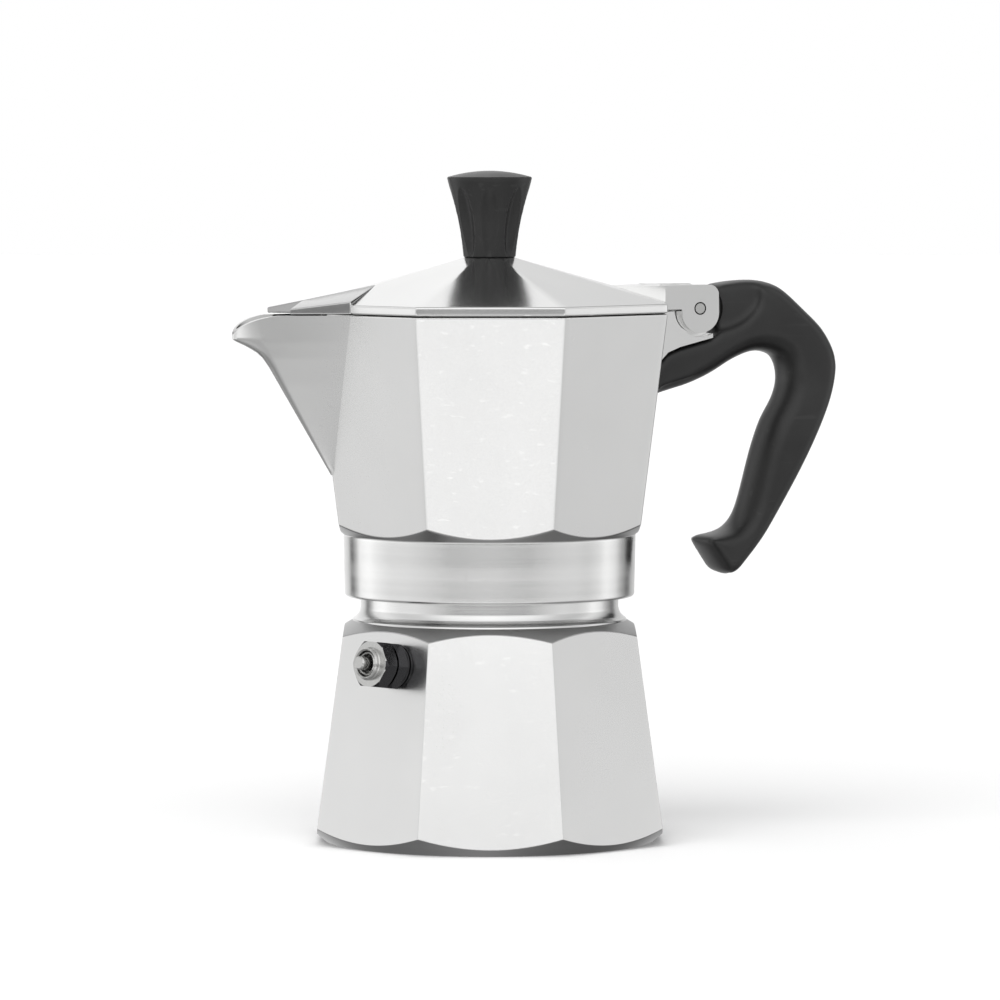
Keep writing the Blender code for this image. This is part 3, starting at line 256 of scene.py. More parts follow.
def handling_group():
    """Hairline scratches and faint smears from handling and washing."""
    group, nodes, given, put = new_group(
        "Handling marks", {"Scratches": 900.0, "Smears": 26.0}, ("Scratch", "Smear")
    )
    point = object_point(nodes)
    lines = []
    for turn in (0.4, 1.9):
        drawn_out = {"Vector": point, "Rotation": (turn, 0.7 * turn, turn), "Scale": (0.03, 1.0, 1.0)}
        mapping = nodes.add("ShaderNodeMapping", drawn_out)
        streak = noise(nodes, mapping.outputs[0], given.outputs["Scratches"], 1.0, 0.4)
        lines.append(nodes.remap(streak, 0.70, 0.76, 0.0, 1.0))
    nodes.tree.links.new(nodes.math("MAXIMUM", *lines), put.inputs["Scratch"])
    smear = nodes.add("ShaderNodeMapping", {"Vector": point, "Scale": (1.0, 1.0, 0.45)}).outputs[0]
    patch = noise(nodes, smear, given.outputs["Smears"], 4.0, 0.6)
    nodes.tree.links.new(nodes.remap(patch, 0.48, 0.72, 0.0, 1.0), put.inputs["Smear"])
    return group


SKIN_DEPTH = 0.0002
GROOVE_DEPTH = 0.00003


def shared(name, make):
    """The group of this name, built at its first use."""
    return bpy.data.node_groups.get(name) or make()


def finish(name, colour, metallic, rough, constants=None):
    """A material with its Principled shader and a helper for the rest of its nodes."""
    made = bpy.data.materials.new(name)
    made.use_nodes = True
    nodes = Nodes(made.node_tree)
    shader = made.node_tree.nodes["Principled BSDF"]
    shader.inputs["Base Color"].default_value = (*colour, 1)
    shader.inputs["Metallic"].default_value = metallic
    shader.inputs["Roughness"].default_value = rough
    for label, value in (constants or {}).items():
        shader.inputs[label].default_value = value
    made.diffuse_color = (*colour, 1)
    return made, nodes, shader


def use_group(nodes, group, **values):
    node = nodes.add("ShaderNodeGroup", node_tree=group)
    for label, value in values.items():
        node.inputs[label].default_value = value
    return node.outputs


def shade(colour, amount):
    return (*(min(1.0, part * amount) for part in colour), 1)


def dress(nodes, shader, tone, rough, bump, depth, height):
    """Feeds the shader this colour, this roughness and a bump of this height."""
    ridge = nodes.add("ShaderNodeBump", {"Strength": bump, "Distance": depth, "Height": height})
    nodes.tree.links.new(tone, shader.inputs["Base Color"])
    nodes.tree.links.new(rough, shader.inputs["Roughness"])
    nodes.tree.links.new(ridge.outputs[0], shader.inputs["Normal"])


def satin_metal(name, colour, rough, grain=2600.0, bump=0.05, clouds=38.0, swing=0.06):
    """Tumbled or cast metal: satin grain, slow clouds, faint scratches."""
    made, nodes, shader = finish(name, colour, 1.0, rough)
    grains = use_group(nodes, shared("Satin grain", grain_group), Grain=grain, Clouds=clouds)
    marks = use_group(nodes, shared("Handling marks", handling_group))
    tone = nodes.mix(grains["Cloud"], shade(colour, 0.975), shade(colour, 1.02))
    tone = nodes.mix(nodes.math("MULTIPLY", grains["Fleck"], 0.25), tone, shade(colour, 0.93))
    tone = nodes.mix(nodes.math("MULTIPLY", marks["Smear"], 0.06), tone, shade(colour, 0.86))
    value = nodes.remap(grains["Fleck"], 0.0, 1.0, rough - swing / 2, rough + swing / 2)
    value = nodes.math("ADD", value, nodes.math("MULTIPLY", marks["Smear"], 0.03))
    value = nodes.math("SUBTRACT", value, nodes.math("MULTIPLY", marks["Scratch"], 0.05))
    height = nodes.math("SUBTRACT", grains["Height"], nodes.math("MULTIPLY", marks["Scratch"], 0.35))
    dress(nodes, shader, tone, value, bump, SKIN_DEPTH, height)
    return made


def turned_metal(name, colour, rough, pitch=0.00022, bump=0.35):
    """Metal with lathe rings, brighter and darker in bands."""
    made, nodes, shader = finish(name, colour, 1.0, rough)
    rings = use_group(nodes, shared("Lathe rings", turning_group), Pitch=pitch)
    grains = use_group(nodes, shared("Satin grain", grain_group), Grain=3200.0, Clouds=30.0)
    tone = nodes.mix(rings["Band"], shade(colour, 0.90), shade(colour, 1.03))
    tone = nodes.mix(nodes.math("MULTIPLY", grains["Fleck"], 0.10), tone, shade(colour, 0.85))
    value = nodes.remap(rings["Band"], 0.0, 1.0, rough - 0.04, rough + 0.05)
    value = nodes.math("ADD", value, nodes.math("MULTIPLY", grains["Cloud"], 0.03))
    dress(nodes, shader, tone, value, bump, GROOVE_DEPTH, rings["Height"])
    return made


def moulded_plastic(name, colour, rough):
    """Black thermoset with a fine etched skin and a soft, uneven sheen."""
    made, nodes, shader = finish(name, colour, 0.0, rough, {"Specular IOR Level": 0.42})
    grains = use_group(nodes, shared("Satin grain", grain_group), Grain=1900.0, Clouds=55.0)
    marks = use_group(nodes, shared("Handling marks", handling_group), Scratches=700.0, Smears=45.0)
    tone = nodes.mix(grains["Cloud"], shade(colour, 0.8), shade(colour, 1.5))
    tone = nodes.mix(nodes.math("MULTIPLY", marks["Scratch"], 0.3), tone, shade(colour, 3.0))
    value = nodes.remap(grains["Cloud"], 0.0, 1.0, rough - 0.03, rough + 0.04)
    value = nodes.math("ADD", value, nodes.math("MULTIPLY", marks["Smear"], 0.05))
    dress(nodes, shader, tone, value, 0.12, SKIN_DEPTH, grains["Height"])
    return made


def soft_rubber(name, colour):
    """Matt white rubber with a dusty skin."""
    made, nodes, shader = finish(name, colour, 0.0, 0.62, {"Sheen Weight": 0.15, "Sheen Roughness": 0.5})
    grains = use_group(nodes, shared("Satin grain", grain_group), Grain=1500.0, Clouds=80.0)
    tone = nodes.mix(grains["Cloud"], shade(colour, 0.92), shade(colour, 1.03))
    tone = nodes.mix(nodes.math("MULTIPLY", grains["Fleck"], 0.3), tone, shade(colour, 0.88))
    value = nodes.remap(grains["Fleck"], 0.0, 1.0, 0.55, 0.7)
    dress(nodes, shader, tone, value, 0.2, SKIN_DEPTH, grains["Height"])
    return made


FINISHES = {
    "tumbled_aluminium": lambda name: satin_metal(name, colours().aluminium, 0.25, bump=0.02, swing=0.03),
    "polished_aluminium": lambda name: satin_metal(name, colours().aluminium, 0.17, bump=0.015, swing=0.03),
    "turned_aluminium": lambda name: turned_metal(name, colours().aluminium, 0.17),
    # Lathe rings in a darker grey, which is painted shade for the turned cones
    "cut_aluminium": lambda name: turned_metal(name, colours().cut, 0.30, 0.0003),
    # A darker grey satin casting: painted shade and reflection for the lid's beak slopes and the wedge's near
    # face
    "dull_casting": lambda name: satin_metal(name, colours().cut, 0.15, bump=0.02, swing=0.04),
    "raw_casting": lambda name: satin_metal(name, colours().pressed, 0.42, 1500.0, 0.25, 60.0, 0.1),
    "pressed_sheet": lambda name: satin_metal(name, colours().pressed, 0.33, 3000.0, 0.08, 70.0),
    "dark_nickel": lambda name: satin_metal(name, colours().nickel, 0.26, 3000.0, 0.06, 90.0),
    "turned_steel": lambda name: satin_metal(name, colours().steel, 0.25, 3600.0, 0.08, 120.0),
    "dark_steel": lambda name: satin_metal(name, colours().nickel, 0.34, 3600.0, 0.08, 120.0),
    "turned_brass": lambda name: turned_metal(name, colours().brass, 0.28, 0.0003),
    "etched_plastic": lambda name: moulded_plastic(name, colours().plastic, 0.34),
    "white_rubber": lambda name: soft_rubber(name, colours().rubber),
}


def surface(name):
    """The finish of this name, made at its first use."""
    return bpy.data.materials.get(name) or FINISHES[name](name)


# Mesh tools


def add_piece(name, bm, *finishes):
    """A mesh object of this bmesh, facing out."""
    bmesh.ops.recalc_face_normals(bm, faces=bm.faces)
    mesh = bpy.data.meshes.new(name)
    bm.to_mesh(mesh)
    bm.free()
    for label in finishes:
        mesh.materials.append(surface(label))
    made = bpy.data.objects.new(name, mesh)
    bpy.context.scene.collection.objects.link(made)
    return made


def revolve(name, stations, *finishes, segments=None, start=0.0):
    """A turned solid of stations, each (r, z) or a function of the angle, closed on the axis or on itself."""
    segments = segments or sizes().segments
    bm = bmesh.new()
    rings = []
    for station in stations:
        at = station if callable(station) else lambda angle, fixed=station: fixed
        if at(0.0)[0] == 0.0:
            rings.append([bm.verts.new((0, 0, at(0.0)[1]))])
            continue
        ring = []
        for step in range(segments):
            angle = start + 2 * math.pi * step / segments
            r, z = at(angle)
            ring.append(bm.verts.new((r * math.cos(angle), r * math.sin(angle), z)))
        rings.append(ring)
    pairs = list(zip(rings, rings[1:]))
    if len(rings[0]) > 1:
        pairs.append((rings[-1], rings[0]))
    for low, high in pairs:
        for step in range(segments):
            after = (step + 1) % segments
            corners = [low[step % len(low)], low[after % len(low)]]
            corners += [high[after % len(high)], high[step % len(high)]]
            bm.faces.new(list(dict.fromkeys(corners)))
    return add_piece(name, bm, *finishes)


def loft(name, sections, *finishes):
    """A solid through sections with the same number of points, capped at both ends."""
    bm = bmesh.new()
    rings = [[bm.verts.new(point) for point in section] for section in sections]
    for low, high in zip(rings, rings[1:]):
        for i, point in enumerate(low):
            bm.faces.new((low[i - 1], point, high[i], high[i - 1]))
    bm.faces.new(rings[0])
    bm.faces.new(rings[-1])
    return add_piece(name, bm, *finishes)


def slab(name, outline, y_from, y_to, *finishes):
    """An outline of (x, z) points, extruded along Y."""
    return loft(name, [[(x, y, z) for x, z in outline] for y in (y_from, y_to)], *finishes)


def rod(name, radius, start, end, *finishes, segments=64):
    """A round bar between two points."""
    start, end = Vector(start), Vector(end)
    length = (end - start).length
    stations = [(0, 0), (radius, 0), (radius, length), (0, length)]
    made = revolve(name, stations, *finishes, segments=segments)
    place(made, Matrix.Translation(start) @ (end - start).to_track_quat("Z", "Y").to_matrix().to_4x4())
    return made


def across_pin(name, radius, y_from, y_to, finish_name="tumbled_aluminium", segments=64):
    """A round bar along the hinge's axis."""
    start, end = ((PIN.x, y, PIN.z) for y in (y_from, y_to))
    return rod(name, radius, start, end, finish_name, segments=segments)


def place(piece, matrix):
    """Moves the mesh itself, so that the piece's own coordinates stay those of the pot."""
    piece.data.transform(matrix)
    return piece


def apply(piece):
    """Replaces the mesh by what its modifiers make of it."""
    graph = bpy.context.evaluated_depsgraph_get()
    mesh = bpy.data.meshes.new_from_object(piece.evaluated_get(graph))
    piece.modifiers.clear()
    old, piece.data = piece.data, mesh
    bpy.data.meshes.remove(old)
    return piece


def boolean(piece, operation, *others):
    """Joins the piece with others, or cuts it by them, and uses them up."""
    for other in others:
        modifier = piece.modifiers.new(other.name, "BOOLEAN")
        modifier.operation = operation
        modifier.solver = "MANIFOLD"
        modifier.object = other
    apply(piece)
    for other in others:
        mesh = other.data
        bpy.data.objects.remove(other)
        bpy.data.meshes.remove(mesh)
    return piece


def break_edges(piece, width, segments=3, degrees=25):
    """Rounds the edges that turn by more than this angle."""
    modifier = piece.modifiers.new("edges", "BEVEL")
    modifier.width = width
    modifier.segments = segments
    modifier.limit_method = "ANGLE"
    modifier.angle_limit = math.radians(degrees)
    modifier.use_clamp_overlap = True
    return apply(piece)


def smooth(piece, degrees, weighted=False):
    """Smooth shading, except over edges that turn by more than this angle."""
    piece.data.shade_smooth()
    piece.data.set_sharp_from_angle(angle=math.radians(degrees))
    if weighted:
        modifier = piece.modifiers.new("weighted normals", "WEIGHTED_NORMAL")
        modifier.keep_sharp = True
        apply(piece)
    return piece


def paint(piece, choose):
    """Gives each face the finish whose index choose returns for its centre and normal."""
    for face in piece.data.polygons:
        face.material_index = choose(face.center, face.normal)


def stand_for(piece, body, slot, *nodes):
    """The piece rides on a body and hides the CAD nodes it stands for; its slot is not used."""
    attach(piece, body)
    if nodes:
        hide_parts(*nodes)
    return piece


def arc(centre, radius, start, end, steps):
    """Points on an arc in degrees, from +X towards +Z."""
    turns = [math.radians(start + (end - start) * step / steps) for step in range(steps + 1)]
    return [(centre[0] + radius * math.cos(turn), centre[1] + radius * math.sin(turn)) for turn in turns]


def curve_through(points, steps):
    """A smooth line through these points, with steps pieces between two of them."""
    padded = [points[0], *points, points[-1]]
    line = []
    for before, start, end, after in zip(padded, padded[1:], padded[2:], padded[3:]):
        for step in range(steps):
            t = step / steps
            line.append(tuple(catmull_rom(*four, t) for four in zip(before, start, end, after)))
    return [*line, points[-1]]


def catmull_rom(before, start, end, after, t):
    slope_in = (end - before) / 2
    slope_out = (after - start) / 2
    rise = 3 * (end - start) - 2 * slope_in - slope_out
    bend = 2 * (start - end) + slope_in + slope_out
    return start + t * (slope_in + t * (rise + t * bend))


def between(pairs, x):
    """Straight-line interpolation in a list of (x, y)."""
    for (x0, y0), (x1, y1) in zip(pairs, pairs[1:]):
        if x <= x1:
            return y0 + (y1 - y0) * max(0.0, (x - x0) / (x1 - x0))
    return pairs[-1][1]


def facet_cos(angle):
    """Cosine between this direction and the nearest facet's normal."""
    return math.cos(angle % (2 * HALF_SIDE) - HALF_SIDE)


# Boiler


def boiler_facet(z):
    return sizes().boiler_a - sizes().boiler_draft * z


def foot_edge(angle, chamfer=1.2):
    """Where the turned foot meets the facets, as (r, z)."""
    size, c = sizes(), facet_cos(angle)
    z = (size.boiler_a / c - size.foot_flat) / (chamfer + size.boiler_draft / c)
    return boiler_facet(z) / c, z


def shoulder_edge(angle, slope=0.6):
    """Where the turned shoulder meets the facets, as (r, z)."""
    size, c = sizes(), facet_cos(angle)
    top = size.shoulder_z + slope * size.shoulder_r
    z = (top - slope * size.boiler_a / c) / (1 - slope * size.boiler_draft / c)
    return boiler_facet(z) / c, z


def thread_ridge(name, radius, outward, z_from, *finishes):
    """Two turns of thread, running out at both ends."""
    steps, runout, pitch, rise = 192, 14, 0.0030, 0.0006
    foot, flat = 0.0008, 0.0004
    sections = []
    for step in range(steps + 1):
        angle = 4 * math.pi * step / steps
        full = min(1.0, (min(step, steps - step) + 0.2) / runout)
        z = z_from + 2 * pitch * step / steps
        root, crest = radius - outward * rise, radius + outward * rise * full
        shape = [(root, -foot), (crest, -flat), (crest, flat), (root, foot)]
        sections.append([(r * math.cos(angle), r * math.sin(angle), z + dz) for r, dz in shape])
    return loft(name, sections, *finishes)


def build_boiler():
    size = sizes()
    neck_r, top = size.neck_r, NECK_TOP_Z
    bore, bore_depth, fillet_r = 0.0268, 0.0135, 0.0034
    floor, corner = 0.004, 0.008
    below = top - bore_depth - (size.shoulder_r - bore)
    stations = [(0, 0), (size.foot_flat, 0), foot_edge, shoulder_edge, (size.shoulder_r, size.shoulder_z)]
    stations += arc((neck_r + fillet_r, size.shoulder_z + fillet_r), fillet_r, 243, 180, 12)
    stations += [(neck_r, top), (bore, top), (bore, top - bore_depth), (boiler_facet(below) - 0.0036, below)]
    stations += [(boiler_facet(corner) - 0.0041, corner), (boiler_facet(floor) - 0.0066, floor), (0, floor)]
    boiler = break_edges(revolve("boiler_shell", stations, *CAST_FINISHES), size.edge)
    foot = valve_matrix().to_translation()
    hole_r, inwards, outwards = 0.0045, 0.008, 0.002
    hole = rod("valve_hole", hole_r, foot - inwards * VALVE_AXIS, foot + outwards * VALVE_AXIS, "raw_casting")
    boolean(boiler, "DIFFERENCE", hole)
    smooth(boiler, 40, True)

    def choose(centre, normal):
        r = math.hypot(centre.x, centre.y)
        inward = centre.x * normal.x + centre.y * normal.y < 0 and centre.z > 0.001
        if r < bore + 0.0002 or inward or (normal.z > 0.9 and centre.z < 0.01):
            return INSIDE
        if centre.z < size.shoulder_z:
            # The foot chamfer and the shoulder take the darker cone finish, which is painted shade
            return OUTSIDE if abs(normal.z) < 0.2 else CUT
        return TURNED

    paint(boiler, choose)
    stand_for(boiler, "boiler", "body_aluminium", "boiler")
    ridge = thread_ridge("boiler_thread", neck_r, 1, top - 0.0078, "turned_aluminium")
    stand_for(smooth(ridge, 20), "boiler", "body_aluminium")


# Safety valve


def valve_matrix():
    """Places a piece made along +Z on the valve's axis, starting on the boiler's face."""
    across = Vector((0, 0, 1)).cross(VALVE_AXIS).normalized()
    up = VALVE_AXIS.cross(across)
    low, high = (Vector(corner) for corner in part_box("valve_washer"))
    washer = Vector((low + high) / 2)
    foot = washer - VALVE_AXIS * (GAP + 0.0002)
    return Matrix.Translation(foot) @ Matrix((across, up, VALVE_AXIS)).transposed().to_4x4()


def hexagon(name, flats, start, end, finish_name):
    """A hexagon nut, its corners turned off at both ends."""
    corner = flats / 2 / math.cos(math.pi / 6)
    turned, run = flats / 2 + 0.0001, 0.0006
    nut = revolve(name, [(0, start), (corner, start), (corner, end), (0, end)], finish_name, segments=6)
    rounds = [(0, start), (turned, start), (corner, start + run)]
    rounds += [(corner, end - run), (turned, end), (0, end)]
    return boolean(nut, "INTERSECT", revolve(name + "_rounds", rounds, finish_name, segments=96))


def build_valve():
    size = sizes()
    hex_end, reach = size.valve_hex_end, size.valve_reach
    boss, bore, shank, seat_bore = 0.0039, 0.0031, 0.0042, 0.0018
    tail, seat = -0.0080, -0.0068
    start, flange_end, front_start = 0.0010, 0.0040, 0.0046
    stations = [(seat_bore, tail), (shank - 0.0004, tail), (shank, tail + 0.0004), (shank, hex_end - 0.0010)]
    stations += [(boss, hex_end - 0.0010), (boss, hex_end + 0.0004), (boss - 0.0002, hex_end + 0.0006)]
    stations += [(boss - 0.0002, reach - 0.0004), (boss - 0.0005, reach), (bore + 0.0004, reach)]
    stations += [(bore, reach - 0.0004), (bore, seat), (seat_bore, seat)]
    body = revolve("valve_body_turned", stations, "dark_nickel", "turned_steel", segments=96)
    flange = hexagon("valve_flange", size.valve_hex, start, flange_end, "dark_nickel")
    front = hexagon("valve_front", size.valve_hex, front_start, hex_end, "dark_nickel")
    for prism in (flange, front):
        hole = rod(prism.name + "_bore", boss - 0.0003, (0, 0, -0.01), (0, 0, 0.02), "dark_nickel")
        boolean(prism, "DIFFERENCE", hole)
    boolean(body, "UNION", flange, front)
    smooth(body, 30)

    def choose(centre, normal):
        turned = centre.z > hex_end - 0.0001 or math.hypot(centre.x, centre.y) < bore + 0.0002
        return 1 if turned or (normal.z > 0.9 and centre.z > 0.005) else 0

    paint(body, choose)
    place(body, valve_matrix())
    stand_for(body, "boiler", "valve_nickel", "valve_body")


# Collector


def collector_facet(z):
    size = sizes()
    return size.collector_a + size.collector_draft * (z - (RIM_Z - GAP))


def chamfer_edge(angle, slope=0.75):
    """Where the turned cone over the belt meets the facets, as (r, z)."""
    size, c = sizes(), facet_cos(angle)
    base = collector_facet(size.belt_high - slope * size.belt_r) / c
    r = base / (1 - size.collector_draft * slope / c)
    return r, size.belt_high + slope * (r - size.belt_r)


def on_facets(inset, z):
    """A station this far inside the collector's facets."""
    return lambda angle: ((collector_facet(z) - inset) / facet_cos(angle), z)


# Height and x of the straight keel's two ends
KEEL = ((0.0876, -0.0403), (0.1162, -0.0576))
# By height, how far the lip stands out from the keel, and the keel's radius
FLARE = ((0.1140, 0.0), (0.1162, 0.0003), (0.1176, 0.0011))
FLARE += ((0.1190, 0.0028), (0.1206, 0.0053), (0.1263, 0.0019))
NOSE_R = ((0.0876, 0.0004), (0.1100, 0.0019), (0.1162, 0.0025), (0.1200, 0.0031), (0.1263, 0.0047))


def spout_section(z, wall, reach_at_rim=0.0122):
    """The spout's plan at this height: two flat sides that run into a round keel, and its flaring lip."""
    (z_root, x_root), (z_flare, x_flare) = KEEL
    outer = z - 0.8 * wall
    keel = x_root + (x_flare - x_root) * (outer - z_root) / (z_flare - z_root) + 0.6 * wall
    nose = max(0.0004, between(NOSE_R, outer) - 0.6 * wall)
    reach = max(reach_at_rim * (z - z_root) / (RIM_Z - z_root) - wall, 0.0003)
    facet_x = -(collector_facet(z) / math.cos(HALF_SIDE) - reach * math.tan(HALF_SIDE))
    centre = min(keel + nose, facet_x - 0.0002)
    away = Vector((facet_x - centre, reach))
    nose = min(centre - keel, away.length * 0.98)
    tangent = math.atan2(away.y, away.x) + math.acos(nose / away.length)
    touch = Vector((centre + nose * math.cos(tangent), nose * math.sin(tangent)))
    side = Vector((facet_x, reach)) - touch
    inner = Vector((facet_x, reach)) + side.normalized() * (0.006 if wall else 0.0013)
    half = [inner]
    half += [inner.lerp(touch, step / 8) for step in range(1, 8)]
    flare = between(FLARE, outer)
    for step in range(17):
        turn = tangent + (math.pi - tangent) * step / 16
        out = flare * max(0.0, -math.cos(turn)) ** 2
        half.append(Vector((centre + nose * math.cos(turn) - out, nose * math.sin(turn))))
    outline = [(point.x, -point.y, z) for point in half]
    return outline + [(point.x, point.y, z) for point in reversed(half[:-1])]


def spout_solid(name, wall):
    """The spout, or its channel where a wall is given, in levels that crowd towards the lip."""
    low, high = KEEL[0][0] + 0.0006 + 3 * wall, RIM_Z - GAP + wall
    steps = 60
    levels = [low + (high - low) * (1 - (1 - step / steps) ** 1.6) for step in range(steps + 1)]
    return loft(name, [spout_section(z, wall) for z in levels], "tumbled_aluminium")


def lip_cutter():
    """What is cut away over the curved pouring lip."""
    lip_x, tip_x, tip_z, rim = -0.0535, -0.0658, 0.1206, 0.1263
    line = [(lip_x + 0.006, rim + 0.0004)]
    for step in range(17):
        turn = math.pi / 2 * step / 16
        drop = (rim - tip_z) * (1 - math.cos(turn))
        line.append((lip_x - (lip_x - tip_x) * math.sin(turn), rim - drop + 0.0001))
    line += [(tip_x - 0.004, tip_z - 0.001), (tip_x - 0.004, rim + 0.006), (lip_x + 0.006, rim + 0.006)]
    return slab("lip_cutter", line, -0.02, 0.02, "tumbled_aluminium")


def tongue_outline(grow, x_from):
    """The sloping tongue that the handle is pushed over, or the slot for it."""
    x_to, half, slope = 0.0600 + grow, 0.0021 + grow, 0.309
    corners = ((x_from, -1), (x_to, -1), (x_to, 1), (x_from, 1))
    return [(x, 0.1097 + slope * (x - 0.038) + side * half) for x, side in corners]


def hinge_lug():
    """The lug under the lid's ears, with its knuckle and the handle's tongue."""
    rim = RIM_Z - GAP
    edge = [(0.0380, rim - 0.0002), (PIN.x, rim - 0.0002), (0.0550, 0.1225), (0.0550, 0.1197)]
    edge += [(0.0464, 0.1176), (0.0432, 0.1163), (0.0380, 0.1110)]
    lug = slab("hinge_lug", edge, -EAR_OUTER, EAR_OUTER, "tumbled_aluminium")
    for side in (-1, 1):
        boolean(lug, "DIFFERENCE", across_pin(f"ear_pocket_{side}", 0.0069, side * EAR_SLOT, side * 0.01))
    half = 0.0040
    knuckle = across_pin("knuckle", 0.0046, -half, half, segments=72)
    tongue = slab("tongue", tongue_outline(0, 0.038), -half, half, "tumbled_aluminium")
    boolean(lug, "UNION", knuckle, tongue)
    break_edges(lug, 0.00025, 2, 30)
    bore = across_pin("pin_bore", PIN_BORE_R, -0.01, 0.01, segments=50)
    screw_x, inset_a = 0.052, 0.00135
    low, high = ((screw_x, 0, z) for z in (0.108, 0.1175))
    hole = rod("tongue_hole", 0.0019, low, high, "tumbled_aluminium", segments=45)
    core = [(0, 0.09), on_facets(inset_a, 0.09), on_facets(inset_a, 0.14), (0, 0.14)]
    chamber = revolve("chamber_core", core, "tumbled_aluminium", segments=SIDES)
    return boolean(lug, "DIFFERENCE", bore, hole, chamber)


def build_collector():
    size = sizes()
    rim = RIM_Z - GAP
    thread_wall, floor, seat_r = 0.0323, 0.0758, 0.0309
    riser_bore, riser_high, riser_top = 0.0036, 0.1096, 0.1120
    lip_r, bend_r = 0.0008, 0.0035
    plate_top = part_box("filter_plate")[1][2] + GAP
    stations = [(0, riser_high), (riser_bore, riser_high), (riser_bore, floor), (0.0060, 0.0732)]
    stations += [(0.0265, 0.0726), (0.0273, plate_top), (seat_r, plate_top), (seat_r, 0.0667)]
    stations += [(thread_wall, 0.0660), (thread_wall, size.belt_low + 0.0006)]
    stations += [(thread_wall + 0.0006, size.belt_low)]
    stations += arc((size.belt_r - 0.0011, size.belt_low + lip_r), lip_r, 270, 360, 6)
    stations += [(size.belt_r, size.belt_high - 0.0006), (size.belt_r - 0.0001, size.belt_high)]
    stations += [chamfer_edge, on_facets(0, rim), on_facets(size.wall, rim)]
    stations += [on_facets(size.wall, floor + 0.0050)]
    stations += arc((collector_facet(floor) - size.wall - 0.0045, floor + bend_r), bend_r, 350, 275, 5)
    stations += [(0.0120, floor), (0.0092, floor + 0.0008), (0.0072, floor + 0.0028)]
    stations += [(0.0060, floor + 0.0070), (0.0054, floor + 0.0140), (0.0054, 0.1108)]
    stations += [(0.0050, 0.1116), (0.0042, riser_top), (0, riser_top)]
    body = break_edges(revolve("collector_shell", stations, *CAST_FINISHES), size.edge)
    outlet = [(-0.01, 0.1026), (0.01, 0.1026), (0.01, 0.1088), (-0.01, 0.1088)]
    boolean(body, "DIFFERENCE", slab("column_outlet", outlet, -0.0015, 0.0015, "raw_casting"))
    spout = spout_solid("spout", 0.0)
    boolean(spout, "DIFFERENCE", lip_cutter())
    boolean(body, "UNION", spout)
    boolean(body, "DIFFERENCE", spout_solid("spout_channel", 0.0017))
    boolean(body, "UNION", hinge_lug())
    smooth(body, 32, True)

    def choose(centre, normal):
        r = math.hypot(centre.x, centre.y)
        inward = centre.x * normal.x + centre.y * normal.y < 0
        if centre.z < chamfer_edge(math.atan2(centre.y, centre.x))[1] + 0.0002 and r > seat_r:
            # The cone over the belt takes the darker cone finish, which is painted shade
            return CUT if centre.z > size.belt_high else TURNED
        within = r < collector_facet(centre.z) - 0.0012 and centre.z < rim - 0.0003
        return INSIDE if within and (inward or normal.z > 0.5 or r < 0.012) else OUTSIDE

    paint(body, choose)
    stand_for(body, "collector", "body_aluminium", "collector")
    ridge = thread_ridge("collector_thread", thread_wall, -1, NECK_TOP_Z - 0.0063, "turned_aluminium")
    stand_for(smooth(ridge, 20), "collector", "body_aluminium")


# Lid


def build_lid():
    size = sizes()
    base, rim_top, slope, wall = RIM_Z, RIM_Z + 0.0021, 0.295, 0.0018
    seat = KNOB_LOW - GAP
    lip_out = collector_facet(RIM_Z - GAP) - size.wall - 2 * GAP
    lip_in = lip_out - 0.0014
    a = size.collector_a

    def top(r, c):
        return rim_top + slope * (a - r * c)

    def station(inset_a, z):
        return lambda angle: (inset_a / facet_cos(angle), z)

    hole_r, under_seat = 0.0023, 0.1364
    stations = [
        (hole_r, seat),
        (hole_r, under_seat),
        (0.0070, under_seat),
        lambda angle: (0.0078, top(0.0078, facet_cos(angle)) - wall),
        station(lip_in, rim_top + slope * (a - lip_in) - wall),
        station(lip_in, base - 0.0012),
        station(lip_out, base - 0.0012),
        station(lip_out, base),
        station(a, base),
        station(a, rim_top),
        lambda angle: (0.0074, top(0.0074, facet_cos(angle))),
        (0.0066, seat),
    ]
    lid = revolve("lid_shell", stations, "polished_aluminium", "raw_casting", "dull_casting")
    break_edges(lid, size.edge, 3, 20)
    boolean(lid, "UNION", break_edges(beak(base), 0.0003, 2, 20), hinge_wedge(base))
    boolean(lid, "DIFFERENCE", across_pin("ear_bore", PIN_BORE_R, -0.01, 0.01, segments=50))
    smooth(lid, 30, True)

    def choose(centre, normal):
        r, c = math.hypot(centre.x, centre.y), facet_cos(math.atan2(centre.y, centre.x))
        if normal.z < -0.3 and r < lip_in + 0.001:
            return 1
        # Slot 2 is painted shade: the beak's slopes and the wedge's near side get a darker colour that stands
        # for the dark reflections they catch
        proud = centre.z > top(r, c) + 0.0002 or r * c > a + 0.0001
        beside_wedge = 0.0315 < centre.x < 0.0425 and abs(normal.z) < 0.3
        return 2 if proud and (centre.x < -0.028 or beside_wedge) else 0

    paint(lid, choose)
    stand_for(lid, "lid", "body_aluminium", "lid")


